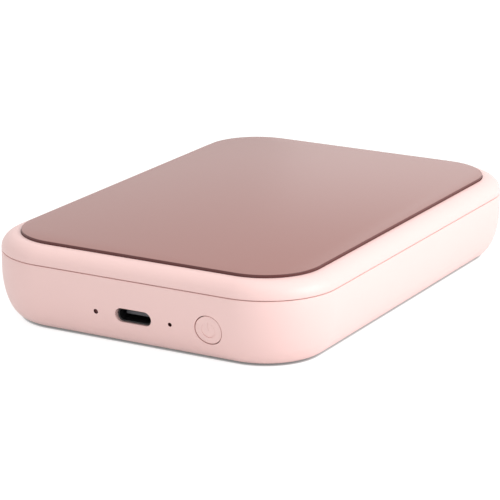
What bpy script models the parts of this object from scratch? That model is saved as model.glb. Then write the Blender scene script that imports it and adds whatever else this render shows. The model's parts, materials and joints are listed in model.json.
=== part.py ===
"""A pocket photo printer with a slide-off cover, as separate pieces in metres, +Z up.

The origin is under the middle of the case. The socket end faces -Y, the paper slot +Y.
"""

import math

import bmesh
import bpy
from mathutils import Vector

# Case outline
CASE_WIDTH = 0.0843
CASE_LENGTH = 0.1190
CASE_HEIGHT = 0.0206
CORNER_SHARE = 0.2058  # corner radius as a share of the width
FOOT_LIFT = 0.0004
BELLY_TOP = 0.0120  # where the rounded underside meets the upright side
BELLY_INSET = 0.0053
SEAM_HEIGHT = 0.0161
SEAM_GAP = 0.0003
CROWN_START = 0.0165
CROWN_INSET = 0.0042
WALL = 0.0016
FLOOR = 0.0015
ROOF = 0.0012
SEAT = 0.0003  # gap between pieces that rest on each other
FIT = 0.0001  # radial clearance of shafts, pins and screws

# Top plate
PLATE_INSET = 0.0044
PLATE_RADIUS_STEP = 0.00385
PLATE_PROUD = 0.00068
POCKET_DEPTH = 0.0005
PLATE_CLEARANCE = 0.00015
PLATE_CHAMFER = 0.00012

# Cover path, hooks and lips
SLIDE_SLOPE = math.radians(28.0)
HOOK_MARGIN = 0.0194  # from the bay's start to the first row
HOOK_ROOM = 0.0085  # from the second row to the motor's axis
HOOK_LENGTH = 0.0035
HOOK_OVERHANG = 0.0010
HOOK_PLAY = 0.00039
HOOK_THICKNESS = 0.0012
HOOK_FOOT_DEPTH = 0.0011
LEDGE_LENGTH = 0.0030
LEDGE_REACH = 0.0013
LEDGE_DROP = 0.0025
LIP_CLEARANCE = 0.00025
LIP_THICKNESS = 0.0008
LIP_HEIGHT = 0.0007
LIP_ROOT = 0.0035
LIP_START = 0.0020

# Sockets, pinholes and button in the -Y end
PORT_X = 0.00075
PORT_Z = 0.00786
PORT_WIDTH = 0.0093
PORT_HEIGHT = 0.0034
SHELL_WIDTH = 0.00894
SHELL_HEIGHT = 0.00316
SHELL_WALL = 0.0003
SHELL_DEPTH = 0.0073
SHELL_SETBACK = 0.0009
TONGUE_WIDTH = 0.0067
TONGUE_THICKNESS = 0.0007
TONGUE_LENGTH = 0.0044
PINHOLE_Z = 0.00768
LAMP_X = -0.00896
LAMP_HOLE_RADIUS = 0.00058
LAMP_RECESS = 0.0004
LAMP_LENGTH = 0.0040
LAMP_WIDTH = 0.0016
LAMP_DEPTH = 0.0008
LAMP_RISE = 0.0006
RESET_SHARE = 0.4945  # of the way from the socket to the button
RESET_HOLE_RADIUS = 0.00048
BUTTON_MARGIN = 0.00094  # from the flange to the rounded corner
BUTTON_Z = 0.00793
BUTTON_RADIUS = 0.00325
BUTTON_GAP = 0.0002
BUTTON_RECESS = 0.0001
BUTTON_TRAVEL = 0.0004
FLANGE_RADIUS = 0.0040
FLANGE_THICKNESS = 0.0006
STEM_RADIUS = 0.0015
STEM_LENGTH = 0.0015
PLUNGER_RADIUS = 0.0008
PLUNGER_LENGTH = 0.0016
SWITCH_SIZE = (0.0045, 0.0034, 0.0033)
RESET_PLUNGER_RADIUS = 0.0006
RESET_TRAVEL = 0.00025
RESET_SWITCH_SIZE = (0.0036, 0.0028, 0.0028)

# Main board and battery
BOARD_THICKNESS = 0.0010
BOARD_DEPTH = 0.0130
BOARD_MARGIN = 0.01015
POST_RADIUS = 0.0018
POST_MARGIN = 0.0045
POST_BACK = 0.0040
CHIP_SIZE = (0.0090, 0.0070, 0.0010)
CHIP_SETBACK = 0.01175  # from the socket's middle
RADIO_SIZE = (0.0100, 0.0060, 0.0016)
RADIO_SETBACK = 0.00836  # from the button's axis
BATTERY_HEIGHT = 0.0050
BATTERY_MARGIN = 0.0033
BATTERY_GAP = 0.0028  # to the motor's back
BATTERY_SETBACK = 0.0155  # from the pickup rollers' axis
BATTERY_EDGE = 0.0014
BATTERY_RIB = 0.0010
BATTERY_RIB_HEIGHT = 0.0025
LEAD_RADIUS = 0.0006
LEAD_STEPS = 6
LEAD_SOCKET_SIZE = (0.0050, 0.0030, 0.0018)

# Paper bay, for sheets of 50.8 x 76.2 mm
BAY_FLOOR = 0.0104
BAY_MARGIN = 0.0026
BAY_SETBACK = 0.0141
TRAY_THICKNESS = 0.0010
TRAY_WALL = 0.0012
TRAY_TOP = 0.0154
RUNNER_HEIGHT = 0.0003
RUNNER_WIDTH = 0.0012
RUNNER_MARGIN = 0.0047
RUNNER_INNER = 0.0050
GATE_THICKNESS = 0.0012
GATE_GAP = 0.0006
GATE_MARGIN = 0.0010
GATE_TOP = 0.0146
NOTCH_RADIUS = 0.0085
NOTCH_RISE = 0.0047
EAR_SETBACK = 0.01115
EAR_MARGIN = 0.0114  # from the bay's start to the first row
EAR_ROOM = 0.0145  # from the second row to the motor's axis
EAR_HALF = 0.0027
BOSS_RADIUS = 0.0025
SCREW_RADIUS = 0.0007
SCREW_LENGTH = 0.0052
FRAME_SCREW_LENGTH = 0.0030
SCREW_HEAD_RADIUS = 0.0016
SCREW_HEAD_HEIGHT = 0.0009
SCREW_FACE_RADIUS = 0.00096

# Rollers
PLATEN_SETBACK = 0.0160  # from the paper end's outer face
PLATEN_MARGIN = 0.0023
PLATEN_Z = 0.0080
PLATEN_RADIUS = 0.0035
PLATEN_SHAFT_RADIUS = 0.0015
BUSH_RADIUS = 0.0025
BUSH_FLANGE_RADIUS = 0.0032
BUSH_FLANGE = 0.0005
PICKUP_Z = 0.0080
PICKUP_RADIUS = 0.0029
PICKUP_SHAFT_RADIUS = 0.00125

# Gear train
MODULE = 0.0005
FAST_MODULE = 0.0004
PLATEN_TEETH = 21
IDLER_TEETH = 21
PICKUP_TEETH = 18
REDUCER_SMALL_TEETH = 10
REDUCER_LARGE_TEETH = 28
PINION_TEETH = 10
BACKLASH = 0.00012
DEDENDUM = 1.25
FLANK_START = 0.97  # of the base radius
ROOT_FLARE = 0.12
PRESSURE_ANGLE = math.radians(20.0)
GEAR_STANDOFF = 0.0012
GEAR_WIDTH = 0.0025
FAST_WIDTH = 0.0020
REDUCER_ANGLE = math.radians(171.8)
PINION_ANGLE = math.radians(206.6)
PIN_RADIUS = 0.0010

# Motor
MOTOR_RADIUS = 0.0035
MOTOR_LENGTH = 0.0165
MOTOR_SHAFT_RADIUS = 0.0006
SADDLE_WIDTH = 0.0020
SADDLE_SHARE = 0.8  # of the motor's radius

# Mechanism frame
CHEEK_SETBACK = 0.01385
CHEEK_MARGIN = 0.00525
DRIVE_CHEEK_MARGIN = 0.0045
CHEEK_END_GAP = 0.0050
SHOULDER_DROP = 0.0035
SHOULDER_BACK = 0.0060
SHOULDER_FRONT = 0.0030
SHOULDER_BEVEL = 0.0020
CHEEK_THICKNESS = 0.0018
CHEEK_TOP = 0.0150
GUIDE_REACH = 0.0093
GUIDE_GAP = 0.0006
GUIDE_THICKNESS = 0.0017
SLOT_HEIGHT = 0.0022
SLOT_MARGIN = 0.0011
TIE_THICKNESS = 0.0016
FRAME_SCREW_SETBACK = 0.0083
FRAME_TAB = 0.0012

# Print head
NIP_GAP = 0.0003
HEAD_MARGIN = 0.0009
HEAD_REACH = (0.0045, 0.0055)  # behind and before the platen's axis
TAIL_REACH = (0.0030, 0.0025)
TAIL_OVERHANG = 0.0031
SINK_REACH = 0.0080
SINK_FINS = 5
HEAD_PIVOT_REACH = 0.0070
HEAD_THICKNESS = 0.0009
SINK_THICKNESS = 0.0011
SINK_FIN = 0.0005
HEAD_PIVOT_RADIUS = 0.0006
BRIDGE_THICKNESS = 0.0005
BRIDGE_REACH = (0.0057, 0.0095)
BRIDGE_TAB_DROP = 0.0020
BRIDGE_TAB_MARGIN = 0.0010
WINDOW_ROW = 0.0045
WINDOW_HALF = 0.0012
WINDOW_RADIUS = 0.0011
CONNECTOR_HALF = 0.0022
CONNECTOR_HEIGHT = 0.0012
LEAF_THICKNESS = 0.0002
LEAF_MARGIN = 0.0054
LEAF_HALF_WIDTH = 0.0025
LEAF_STEPS = 10
RIBBON_STANDOFF = 0.0044
RIBBON_THICKNESS = 0.0003
RIBBON_LOW = 0.0062
RIBBON_HEIGHT = 0.0064
RIBBON_SETBACK = 0.0030
RIBBON_BEND = 0.0120
RIBBON_MARGIN = 0.0004
RIBBON_STEPS = 6
RIBBON_SOCKET_SIZE = (0.0027, 0.0028, 0.0030)

# Pressure plate under the cover
FLAP_SETBACK = 0.02225  # from the pickup rollers' axis to the hinge
FLAP_HINGE_DROP = 0.0011
FLAP_OVERHANG = 0.0014
FLAP_THICKNESS = 0.0008
FLAP_PIN_RADIUS = 0.0006
FLAP_PIN_LENGTH = 0.0020
FLAP_LUG_HALF = 0.00132
PAD_THICKNESS = 0.0005
PAD_LENGTH = 0.0036
SPRING_MARGIN = 0.0060
SPRING_REACH = 0.0130
SPRING_RADIUS = 0.0018
SPRING_WIRE = 0.0002
SPRING_TURNS = 4
SPRING_STEPS = 10

# Feet
FOOT_SETBACK = 0.0159
FOOT_RADIUS = 0.0040
FOOT_EDGE = 0.00025
FOOT_DEPTH = 0.0005

# Fineness of round shapes
CORNER_STEPS = 9
BELLY_STEPS = 6
CROWN_STEPS = 5
ROUND_STEPS = 20
SMALL_STEPS = 12

# Heights that follow from the sizes above
HALF_WIDTH = CASE_WIDTH / 2
HALF_LENGTH = CASE_LENGTH / 2
CORNER_RADIUS = CASE_WIDTH * CORNER_SHARE
PLATE_RADIUS = CORNER_RADIUS - PLATE_RADIUS_STEP
FLOOR_TOP = FOOT_LIFT + FLOOR
CASE_RIM = SEAM_HEIGHT - SEAM_GAP / 2
COVER_RIM = SEAM_HEIGHT + SEAM_GAP / 2
CROWN_TOP = CASE_HEIGHT - PLATE_PROUD
POCKET_FLOOR = CROWN_TOP - POCKET_DEPTH
CEILING = POCKET_FLOOR - ROOF
BOARD_TOP = PORT_Z - SHELL_HEIGHT / 2 - SEAT
TRAY_BOTTOM = BAY_FLOOR - TRAY_THICKNESS
PAPER_Z = PLATEN_Z + PLATEN_RADIUS
HEAD_Z = PAPER_Z + NIP_GAP
SINK_Z = HEAD_Z + HEAD_THICKNESS + SEAT
SINK_TOP = SINK_Z + SINK_THICKNESS + SINK_FIN
HEAD_PIVOT_Z = SINK_Z + SINK_THICKNESS / 2
HINGE_Z = CEILING - FLAP_HINGE_DROP

# Places across the width
LIP_OUTER = HALF_WIDTH - WALL - LIP_CLEARANCE
LIP_INNER = LIP_OUTER - LIP_THICKNESS
LEDGE_INNER = LIP_INNER - LEDGE_REACH
CHEEK_X = HALF_WIDTH - CHEEK_SETBACK
CHEEK_OUTER = CHEEK_X + CHEEK_THICKNESS
GEAR_PLANE = CHEEK_OUTER + GEAR_STANDOFF
FAST_PLANE = GEAR_PLANE + GEAR_WIDTH + SEAT + FIT
SHAFT_END = GEAR_PLANE + GEAR_WIDTH + 2 * FIT
PLATEN_HALF_LENGTH = CHEEK_X - PLATEN_MARGIN
HEAD_HALF_WIDTH = CHEEK_X - HEAD_MARGIN
LEAF_HALF_LENGTH = HEAD_HALF_WIDTH - LEAF_MARGIN
SLOT_HALF_WIDTH = CHEEK_X - SLOT_MARGIN
TAIL_END = CHEEK_OUTER + TAIL_OVERHANG
RIBBON_X = CHEEK_OUTER + RIBBON_STANDOFF
FRAME_SCREW_X = CHEEK_X - FRAME_SCREW_SETBACK
BAY_HALF = CHEEK_X - BAY_MARGIN
RUNNER_OUTER = BAY_HALF - RUNNER_MARGIN
PICKUP_ROLLER_X = (RUNNER_OUTER + RUNNER_INNER) / 2
PICKUP_ROLLER_LENGTH = (RUNNER_OUTER - RUNNER_INNER) / 2
FLAP_HALF_WIDTH = PICKUP_ROLLER_X + PICKUP_ROLLER_LENGTH / 4
SPRING_X = FLAP_HALF_WIDTH - SPRING_MARGIN
EAR_X = HALF_WIDTH - EAR_SETBACK
FOOT_X = HALF_WIDTH - FOOT_SETBACK
BUTTON_X = HALF_WIDTH - CORNER_RADIUS - FLANGE_RADIUS - BUTTON_MARGIN
RESET_X = PORT_X + (BUTTON_X - PORT_X) * RESET_SHARE
BOARD_HALF_WIDTH = HALF_WIDTH - BOARD_MARGIN
POST_X = BOARD_HALF_WIDTH - POST_MARGIN
RADIO_X = BUTTON_X - RADIO_SETBACK
CHIP_X = PORT_X - CHIP_SETBACK
LEAD_X = CHIP_X - (CHIP_SIZE[0] + LEAD_SOCKET_SIZE[0]) / 2 - SEAT

# Places along the length
PLATEN_Y = HALF_LENGTH - PLATEN_SETBACK
IDLER_Y = PLATEN_Y - (PLATEN_TEETH + IDLER_TEETH) * MODULE / 2
PICKUP_Y = IDLER_Y - (IDLER_TEETH + PICKUP_TEETH) * MODULE / 2
REDUCER_REACH = (PICKUP_TEETH + REDUCER_SMALL_TEETH) * MODULE / 2
REDUCER_Y = PICKUP_Y + REDUCER_REACH * math.cos(REDUCER_ANGLE)
REDUCER_Z = PICKUP_Z + REDUCER_REACH * math.sin(REDUCER_ANGLE)
PINION_REACH = (REDUCER_LARGE_TEETH + PINION_TEETH) * FAST_MODULE / 2
MOTOR_Y = REDUCER_Y + PINION_REACH * math.cos(PINION_ANGLE)
MOTOR_Z = REDUCER_Z + PINION_REACH * math.sin(PINION_ANGLE)
CHEEK_BACK = PICKUP_Y - CHEEK_MARGIN
DRIVE_CHEEK_BACK = MOTOR_Y - DRIVE_CHEEK_MARGIN
CHEEK_FRONT = HALF_LENGTH - CHEEK_END_GAP
TIE_Y = PICKUP_Y + PICKUP_RADIUS + 2 * BOSS_RADIUS + 2 * SEAT
GUIDE_START = PLATEN_Y - GUIDE_REACH
BAY_START = -HALF_LENGTH + BAY_SETBACK
BAY_END = GUIDE_START - GATE_MARGIN - GATE_THICKNESS
EAR_ROWS = (BAY_START + EAR_MARGIN, MOTOR_Y - EAR_ROOM)
HOOK_ROWS = (BAY_START + HOOK_MARGIN, MOTOR_Y - HOOK_ROOM)
HEAD_BACK = PLATEN_Y - HEAD_REACH[0]
HEAD_FRONT = PLATEN_Y + HEAD_REACH[1]
TAIL_BACK = PLATEN_Y - TAIL_REACH[0]
TAIL_FRONT = PLATEN_Y + TAIL_REACH[1]
SINK_FRONT = PLATEN_Y + SINK_REACH
HEAD_PIVOT_Y = PLATEN_Y + HEAD_PIVOT_REACH
BRIDGE_BACK = PLATEN_Y - BRIDGE_REACH[0]
BRIDGE_FRONT = PLATEN_Y + BRIDGE_REACH[1]
BRIDGE_MIDDLE = (BRIDGE_BACK + BRIDGE_FRONT) / 2
FLAP_HINGE_Y = PICKUP_Y - FLAP_SETBACK
SPRING_Y = FLAP_HINGE_Y + SPRING_REACH
FOOT_Y = HALF_LENGTH - FOOT_SETBACK
FLAP_LENGTH = PICKUP_Y + FLAP_OVERHANG - FLAP_HINGE_Y
PAD_REACH = FLAP_THICKNESS / 2 + FIT + PAD_THICKNESS
FLAP_TILT = math.asin(
    (HINGE_Z - PICKUP_Z - PICKUP_RADIUS - SEAT) / math.hypot(FLAP_LENGTH, PAD_REACH)
) - math.atan2(PAD_REACH, FLAP_LENGTH)

PARTS = "photo_printer"
CUTTERS = "cutters"


def clear_scene():
    for obj in list(bpy.data.objects):
        bpy.data.objects.remove(obj, do_unlink=True)


def collection(name):
    found = bpy.data.collections.get(name)
    if found is None:
        found = bpy.data.collections.new(name)
        bpy.context.scene.collection.children.link(found)
    return found


def finish(name, colour, roughness, metallic=0.0):
    """A plain surface: one colour, one roughness."""
    material = bpy.data.materials.new(name)
    material.use_nodes = True
    shader = material.node_tree.nodes["Principled BSDF"]
    shader.inputs["Base Color"].default_value = (*colour, 1.0)
    shader.inputs["Roughness"].default_value = roughness
    shader.inputs["Metallic"].default_value = metallic
    return material


def add_object(data):
    obj = bpy.data.objects.new("piece", data)
    collection(PARTS).objects.link(obj)
    return obj


def add_bmesh(mesh):
    data = bpy.data.meshes.new("piece")
    mesh.to_mesh(data)
    mesh.free()
    data.shade_smooth()
    data.set_sharp_from_angle(angle=math.radians(32.0))
    return add_object(data)


def name_part(obj, name, material):
    """Gives a finished piece its name and its surface."""
    obj.name = name
    obj.data.name = name
    obj.data.materials.clear()
    obj.data.materials.append(material)
    return obj


def combine(target, tool, operation):
    modifier = target.modifiers.new(operation.title(), "BOOLEAN")
    modifier.operation = operation
    modifier.solver = "EXACT"
    modifier.object = tool
    tool.hide_render = True
    tool.display_type = "WIRE"
    if tool.name in collection(PARTS).objects:
        collection(PARTS).objects.unlink(tool)
        collection(CUTTERS).objects.link(tool)
    return target


def cut(target, *tools):
    for tool in tools:
        combine(target, tool, "DIFFERENCE")
    return target


def join(target, *tools):
    for tool in tools:
        combine(target, tool, "UNION")
    return target


def keep_inside(target, tool):
    return combine(target, tool, "INTERSECT")


# Outlines

def rounded_outline(half_width, half_length, radius, steps=CORNER_STEPS):
    """Rounded rectangle, anticlockwise."""
    points = []
    for corner in range(4):
        centre_x = (half_width - radius) * (1 if corner in (0, 3) else -1)
        centre_y = (half_length - radius) * (1 if corner in (0, 1) else -1)
        for step in range(steps + 1):
            angle = math.pi / 2 * (corner + step / steps)
            x = centre_x + radius * math.cos(angle)
            points.append((x, centre_y + radius * math.sin(angle)))
    return points


def circle_outline(radius, steps=ROUND_STEPS, centre=(0.0, 0.0)):
    angles = [2 * math.pi * step / steps for step in range(steps)]
    return [(centre[0] + radius * math.cos(a), centre[1] + radius * math.sin(a)) for a in angles]


def box_outline(low, high):
    return [(low[0], low[1]), (high[0], low[1]), (high[0], high[1]), (low[0], high[1])]


def involute(angle):
    return math.tan(angle) - angle


def gear_outline(teeth, module, phase):
    """Involute spur gear whose first tooth points along phase."""
    pitch_radius = module * teeth / 2
    base_radius = pitch_radius * math.cos(PRESSURE_ANGLE)
    tip = pitch_radius + module
    root = pitch_radius - DEDENDUM * module
    half_pitch = math.pi / (2 * teeth) - BACKLASH / (2 * pitch_radius)
    flank = []
    for radius in (max(root, base_radius * FLANK_START), pitch_radius, tip):
        slant = math.acos(min(1.0, base_radius / max(radius, base_radius)))
        half = half_pitch + involute(PRESSURE_ANGLE) - involute(slant)
        flank.append((radius, half))
    flank.insert(0, (root, flank[0][1] + ROOT_FLARE / teeth))
    points = []
    for tooth in range(teeth):
        middle = phase + 2 * math.pi * tooth / teeth
        polar = [(radius, middle - half) for radius, half in flank]
        polar += [(radius, middle + half) for radius, half in reversed(flank)]
        points += [(radius * math.cos(a), radius * math.sin(a)) for radius, a in polar]
    return points


def meshed_phase(phase, teeth, mate_teeth, direction):
    """Phase of a mate that lies along direction, so that its gaps take this gear's teeth."""
    share = (direction - phase) / (2 * math.pi / teeth)
    return direction + math.pi - (0.5 - share) * 2 * math.pi / mate_teeth


# Solids

def loft(rings):
    """Closed solid through rings of equal length, with its two ends capped."""
    mesh = bmesh.new()
    loops = [[mesh.verts.new(point) for point in ring] for ring in rings]
    for lower, upper in zip(loops, loops[1:]):
        count = len(lower)
        for index in range(count):
            after = (index + 1) % count
            mesh.faces.new((lower[index], lower[after], upper[after], upper[index]))
    mesh.faces.new(list(reversed(loops[0])))
    mesh.faces.new(loops[-1])
    bmesh.ops.recalc_face_normals(mesh, faces=mesh.faces[:])
    return add_bmesh(mesh)


def block(low, high):
    """Box between two corners, its origin in its middle."""
    size = [high[axis] - low[axis] for axis in range(3)]
    mesh = bmesh.new()
    bmesh.ops.create_cube(mesh, size=1.0)
    bmesh.ops.scale(mesh, vec=size, verts=mesh.verts[:])
    obj = add_bmesh(mesh)
    obj.location = [(low[axis] + high[axis]) / 2 for axis in range(3)]
    return obj


def flat(outline, axis, low, high, holes=()):
    """Outline extruded along a world axis from low to high, as a filled curve.

    The outline is in (Y, Z) for axis X, in (X, Z) for axis Y and in (X, Y) for axis Z.
    """
    curve = bpy.data.curves.new("outline", "CURVE")
    curve.dimensions = "2D"
    curve.fill_mode = "BOTH"
    curve.extrude = (high - low) / 2
    for points in (outline, *holes):
        spline = curve.splines.new("POLY")
        spline.points.add(len(points) - 1)
        for point, place in zip(spline.points, points):
            point.co = (place[0], place[1], 0.0, 1.0)
        spline.use_cyclic_u = True
    obj = add_object(curve)
    turns = {"X": (math.pi / 2, 0, math.pi / 2), "Y": (math.pi / 2, 0, 0), "Z": (0, 0, 0)}
    obj.rotation_euler = turns[axis]
    obj.location["XYZ".index(axis)] = (low + high) / 2
    return obj


def solid(curve_object):
    """The same shape as a mesh with its caps welded."""
    bpy.context.view_layer.update()
    graph = bpy.context.evaluated_depsgraph_get()
    data = bpy.data.meshes.new_from_object(curve_object.evaluated_get(graph))
    mesh = bmesh.new()
    mesh.from_mesh(data)
    bmesh.ops.remove_doubles(mesh, verts=mesh.verts[:], dist=1e-6)
    bmesh.ops.recalc_face_normals(mesh, faces=mesh.faces[:])
    mesh.to_mesh(data)
    mesh.free()
    obj = add_object(data)
    obj.matrix_world = curve_object.matrix_world.copy()
    bpy.data.objects.remove(curve_object, do_unlink=True)
    return obj


def prism(outline, axis, low, high, holes=()):
    return solid(flat(outline, axis, low, high, holes))


def rod(radius, axis, low, high, centre, steps=ROUND_STEPS):
    """Cylinder along a world axis; centre gives the other two coordinates in order."""
    mesh = bmesh.new()
    bmesh.ops.create_cone(
        mesh, cap_ends=True, segments=steps, radius1=radius, radius2=radius, depth=high - low
    )
    obj = add_bmesh(mesh)
    place = list(centre)
    place.insert("XYZ".index(axis), (low + high) / 2)
    obj.location = place
    turns = {"X": (0, math.pi / 2, 0), "Y": (math.pi / 2, 0, 0), "Z": (0, 0, 0)}
    obj.rotation_euler = turns[axis]
    return obj


def turned(profile, place, direction, steps=ROUND_STEPS):
    """Profile of (radius, height) points, top first, spun about an axis through place."""
    mesh = bmesh.new()
    verts = [mesh.verts.new((radius, 0.0, height)) for radius, height in profile]
    for first, second in zip(verts, verts[1:]):
        mesh.edges.new((first, second))
    if profile[0][0] > 0.0:
        mesh.edges.new((verts[-1], verts[0]))
    obj = add_bmesh(mesh)
    spin = obj.modifiers.new("Spin", "SCREW")
    spin.steps = steps
    spin.render_steps = steps
    spin.use_merge_vertices = True
    spin.merge_threshold = 1e-6
    spin.use_smooth_shade = True
    obj.location = place
    obj.rotation_euler = Vector((0, 0, 1)).rotation_difference(Vector(direction)).to_euler()
    return obj


# The case's form

def belly_inset(height, bottom, extra=0.0):
    """How far the rounded underside draws in at a height."""
    depth = max(0.0, (BELLY_TOP - height) / (BELLY_TOP - bottom))
    return extra + BELLY_INSET * (1 - math.sqrt(max(0.0, 1 - depth * depth)))


def inner_inset(height):
    return belly_inset(height, FLOOR_TOP, WALL)


def ring(inset, height, radius=None):
    """The plan outline drawn in by inset, at a height."""
    if radius is None:
        radius = CORNER_RADIUS - inset
    plan = rounded_outline(HALF_WIDTH - inset, HALF_LENGTH - inset, radius)
    return [(x, y, height) for x, y in plan]


def belly_rings(bottom, extra):
    rings = []
    for step in range(BELLY_STEPS + 1):
        angle = math.pi / 2 * step / BELLY_STEPS
        height = BELLY_TOP - (BELLY_TOP - bottom) * math.cos(angle)
        rings.append(ring(extra + BELLY_INSET * (1 - math.sin(angle)), height))
    return rings


def crown_rings(top, edge_inset, top_inset):
    """Quarter-elliptic shoulder from an upright edge to a flat top."""
    rings = []
    for step in range(CROWN_STEPS + 1):
        angle = math.pi / 2 * step / CROWN_STEPS
        height = CROWN_START + (top - CROWN_START) * math.sin(angle)
        rings.append(ring(edge_inset + (top_inset - edge_inset) * (1 - math.cos(angle)), height))
    return rings


def end_face(height):
    """Y of the socket end's outer face at a height."""
    return -(HALF_LENGTH - belly_inset(height, FOOT_LIFT))


def cavity(gap):
    """The room inside the case, kept a gap away from its walls."""
    rings = belly_rings(FLOOR_TOP + gap, WALL + gap)
    return loft(rings + [ring(WALL + gap, CASE_RIM)])


# Lower case

def side_rail(side):
    """Inner rib with a lip that lines up the cover's side."""
    start = -(HALF_LENGTH - CORNER_RADIUS) + LIP_START
    end = HALF_LENGTH - CORNER_RADIUS
    limits = sorted((side * LIP_INNER, side * (HALF_WIDTH - WALL / 2)))
    root = block(
        (limits[0], start, CASE_RIM - LIP_ROOT), (limits[1], end, CASE_RIM - SEAT)
    )
    limits = sorted((side * LIP_INNER, side * LIP_OUTER))
    lip = block((limits[0], start, CASE_RIM - 2 * SEAT), (limits[1], end, CASE_RIM + LIP_HEIGHT))
    return root, lip


def ledge(side, row):
    """Ramp on the rail that holds a hook down and lets it climb out."""
    low = CASE_RIM - LEDGE_DROP
    rise = LEDGE_LENGTH * math.tan(SLIDE_SLOPE)
    top = CASE_RIM - SEAT
    outline = [(row, low), (row + LEDGE_LENGTH, low + rise), (row + LEDGE_LENGTH, top), (row, top)]
    limits = sorted((side * LEDGE_INNER, side * (LIP_INNER + LIP_THICKNESS / 2)))
    return prism(outline, "X", *limits)


def screw_boss(x, y, top):
    return rod(BOSS_RADIUS, "Z", FLOOR_TOP - FLOOR / 3, top - SEAT, (x, y), SMALL_STEPS)


def screw_bore(x, y, top, length):
    low = top - length - SEAT
    return rod(SCREW_RADIUS + FIT, "Z", low, top + SEAT, (x, y), SMALL_STEPS)


def battery_limits():
    back = -HALF_LENGTH + inner_inset(BOARD_TOP) + SEAT + BOARD_DEPTH + BATTERY_RIB + 2 * SEAT
    low = (-CHEEK_X + BATTERY_MARGIN, back, FLOOR_TOP + SEAT)
    right = CHEEK_X - MOTOR_LENGTH - BATTERY_GAP
    return low, (right, PICKUP_Y - BATTERY_SETBACK, low[2] + BATTERY_HEIGHT)


def battery_frame():
    """Low ribs on the floor that locate the battery."""
    low, high = battery_limits()
    inner = box_outline((low[0] - SEAT, low[1] - SEAT), (high[0] + SEAT, high[1] + SEAT))
    reach = SEAT + BATTERY_RIB
    outer = box_outline((low[0] - reach, low[1] - reach), (high[0] + reach, high[1] + reach))
    top = FLOOR_TOP + BATTERY_RIB_HEIGHT
    return prism(outer, "Z", FLOOR_TOP - FLOOR / 3, top, holes=[inner])


def motor_saddle(x):
    """Cradle on the floor under the motor."""
    half = MOTOR_RADIUS * SADDLE_SHARE
    saddle = block(
        (x - SADDLE_WIDTH / 2, MOTOR_Y - half, FLOOR_TOP - FLOOR / 3),
        (x + SADDLE_WIDTH / 2, MOTOR_Y + half, MOTOR_Z - MOTOR_RADIUS / 3),
    )
    start, end = x - SADDLE_WIDTH, x + SADDLE_WIDTH
    return cut(saddle, rod(MOTOR_RADIUS + SEAT, "X", start, end, (MOTOR_Y, MOTOR_Z)))


def port_outline(width, height):
    half = (width - height) / 2
    points = []
    for step in range(SMALL_STEPS // 2 + 1):
        angle = -math.pi / 2 + math.pi * step / (SMALL_STEPS // 2)
        points.append((half + height / 2 * math.cos(angle), height / 2 * math.sin(angle)))
    points += [(-x, -z) for x, z in points]
    return [(PORT_X + x, PORT_Z + z) for x, z in points]


def lower_case(material):
    """Moulded tub: rounded underside, upright sides, bosses, rails and cut-outs."""
    outer = belly_rings(FOOT_LIFT, 0.0) + [ring(0.0, CASE_RIM)]
    inner = [ring(WALL, CASE_RIM)] + belly_rings(FLOOR_TOP, WALL)[::-1]
    case = loft(outer + inner)
    for side in (-1, 1):
        join(case, *side_rail(side))
        for row in HOOK_ROWS:
            join(case, ledge(side, row))
        for row in EAR_ROWS:
            join(case, screw_boss(side * EAR_X, row, TRAY_BOTTOM))
            cut(case, screw_bore(side * EAR_X, row, TRAY_BOTTOM, SCREW_LENGTH))
        frame_screw = (side * FRAME_SCREW_X, TIE_Y - BOSS_RADIUS, frame_tab_bottom())
        join(case, screw_boss(*frame_screw))
        cut(case, screw_bore(*frame_screw, FRAME_SCREW_LENGTH))
        post_top = BOARD_TOP - BOARD_THICKNESS - SEAT
        post = (side * POST_X, board_back() - POST_BACK)
        join(case, rod(POST_RADIUS, "Z", FLOOR_TOP - FLOOR / 3, post_top, post, SMALL_STEPS))
    join(case, battery_frame())
    for x in motor_saddles():
        join(case, motor_saddle(x))
    outside, inside = -HALF_LENGTH - WALL, -HALF_LENGTH + 3 * WALL
    cut(case, prism(port_outline(PORT_WIDTH, PORT_HEIGHT), "Y", outside, inside))
    cut(case, rod(LAMP_HOLE_RADIUS, "Y", outside, inside, (LAMP_X, PINHOLE_Z), SMALL_STEPS))
    cut(case, rod(RESET_HOLE_RADIUS, "Y", outside, inside, (RESET_X, PINHOLE_Z), SMALL_STEPS))
    cut(case, rod(BUTTON_RADIUS + BUTTON_GAP, "Y", outside, inside, (BUTTON_X, BUTTON_Z)))
    slot_low = PAPER_Z - GUIDE_GAP
    slot = box_outline((-SLOT_HALF_WIDTH, slot_low), (SLOT_HALF_WIDTH, slot_low + SLOT_HEIGHT))
    cut(case, prism(slot, "Y", HALF_LENGTH - 2 * WALL, HALF_LENGTH + WALL))
    for x in (-FOOT_X, FOOT_X):
        for y in (-FOOT_Y, FOOT_Y):
            top = FOOT_LIFT + FOOT_DEPTH + SEAT
            cut(case, rod(FOOT_RADIUS + SEAT, "Z", 0.0, top, (x, y)))
    return name_part(case, "lower_case", material)


def feet(material):
    for end, y in (("socket", -FOOT_Y), ("paper", FOOT_Y)):
        for side, x in (("left", -FOOT_X), ("right", FOOT_X)):
            top = FOOT_LIFT + FOOT_DEPTH
            rim = [(FOOT_RADIUS, top), (FOOT_RADIUS, FOOT_EDGE), (FOOT_RADIUS - FOOT_EDGE, 0)]
            profile = [(0, top), *rim, (0, 0)]
            name_part(turned(profile, (x, y, 0), (0, 0, 1)), f"foot_{end}_{side}", material)


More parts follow.
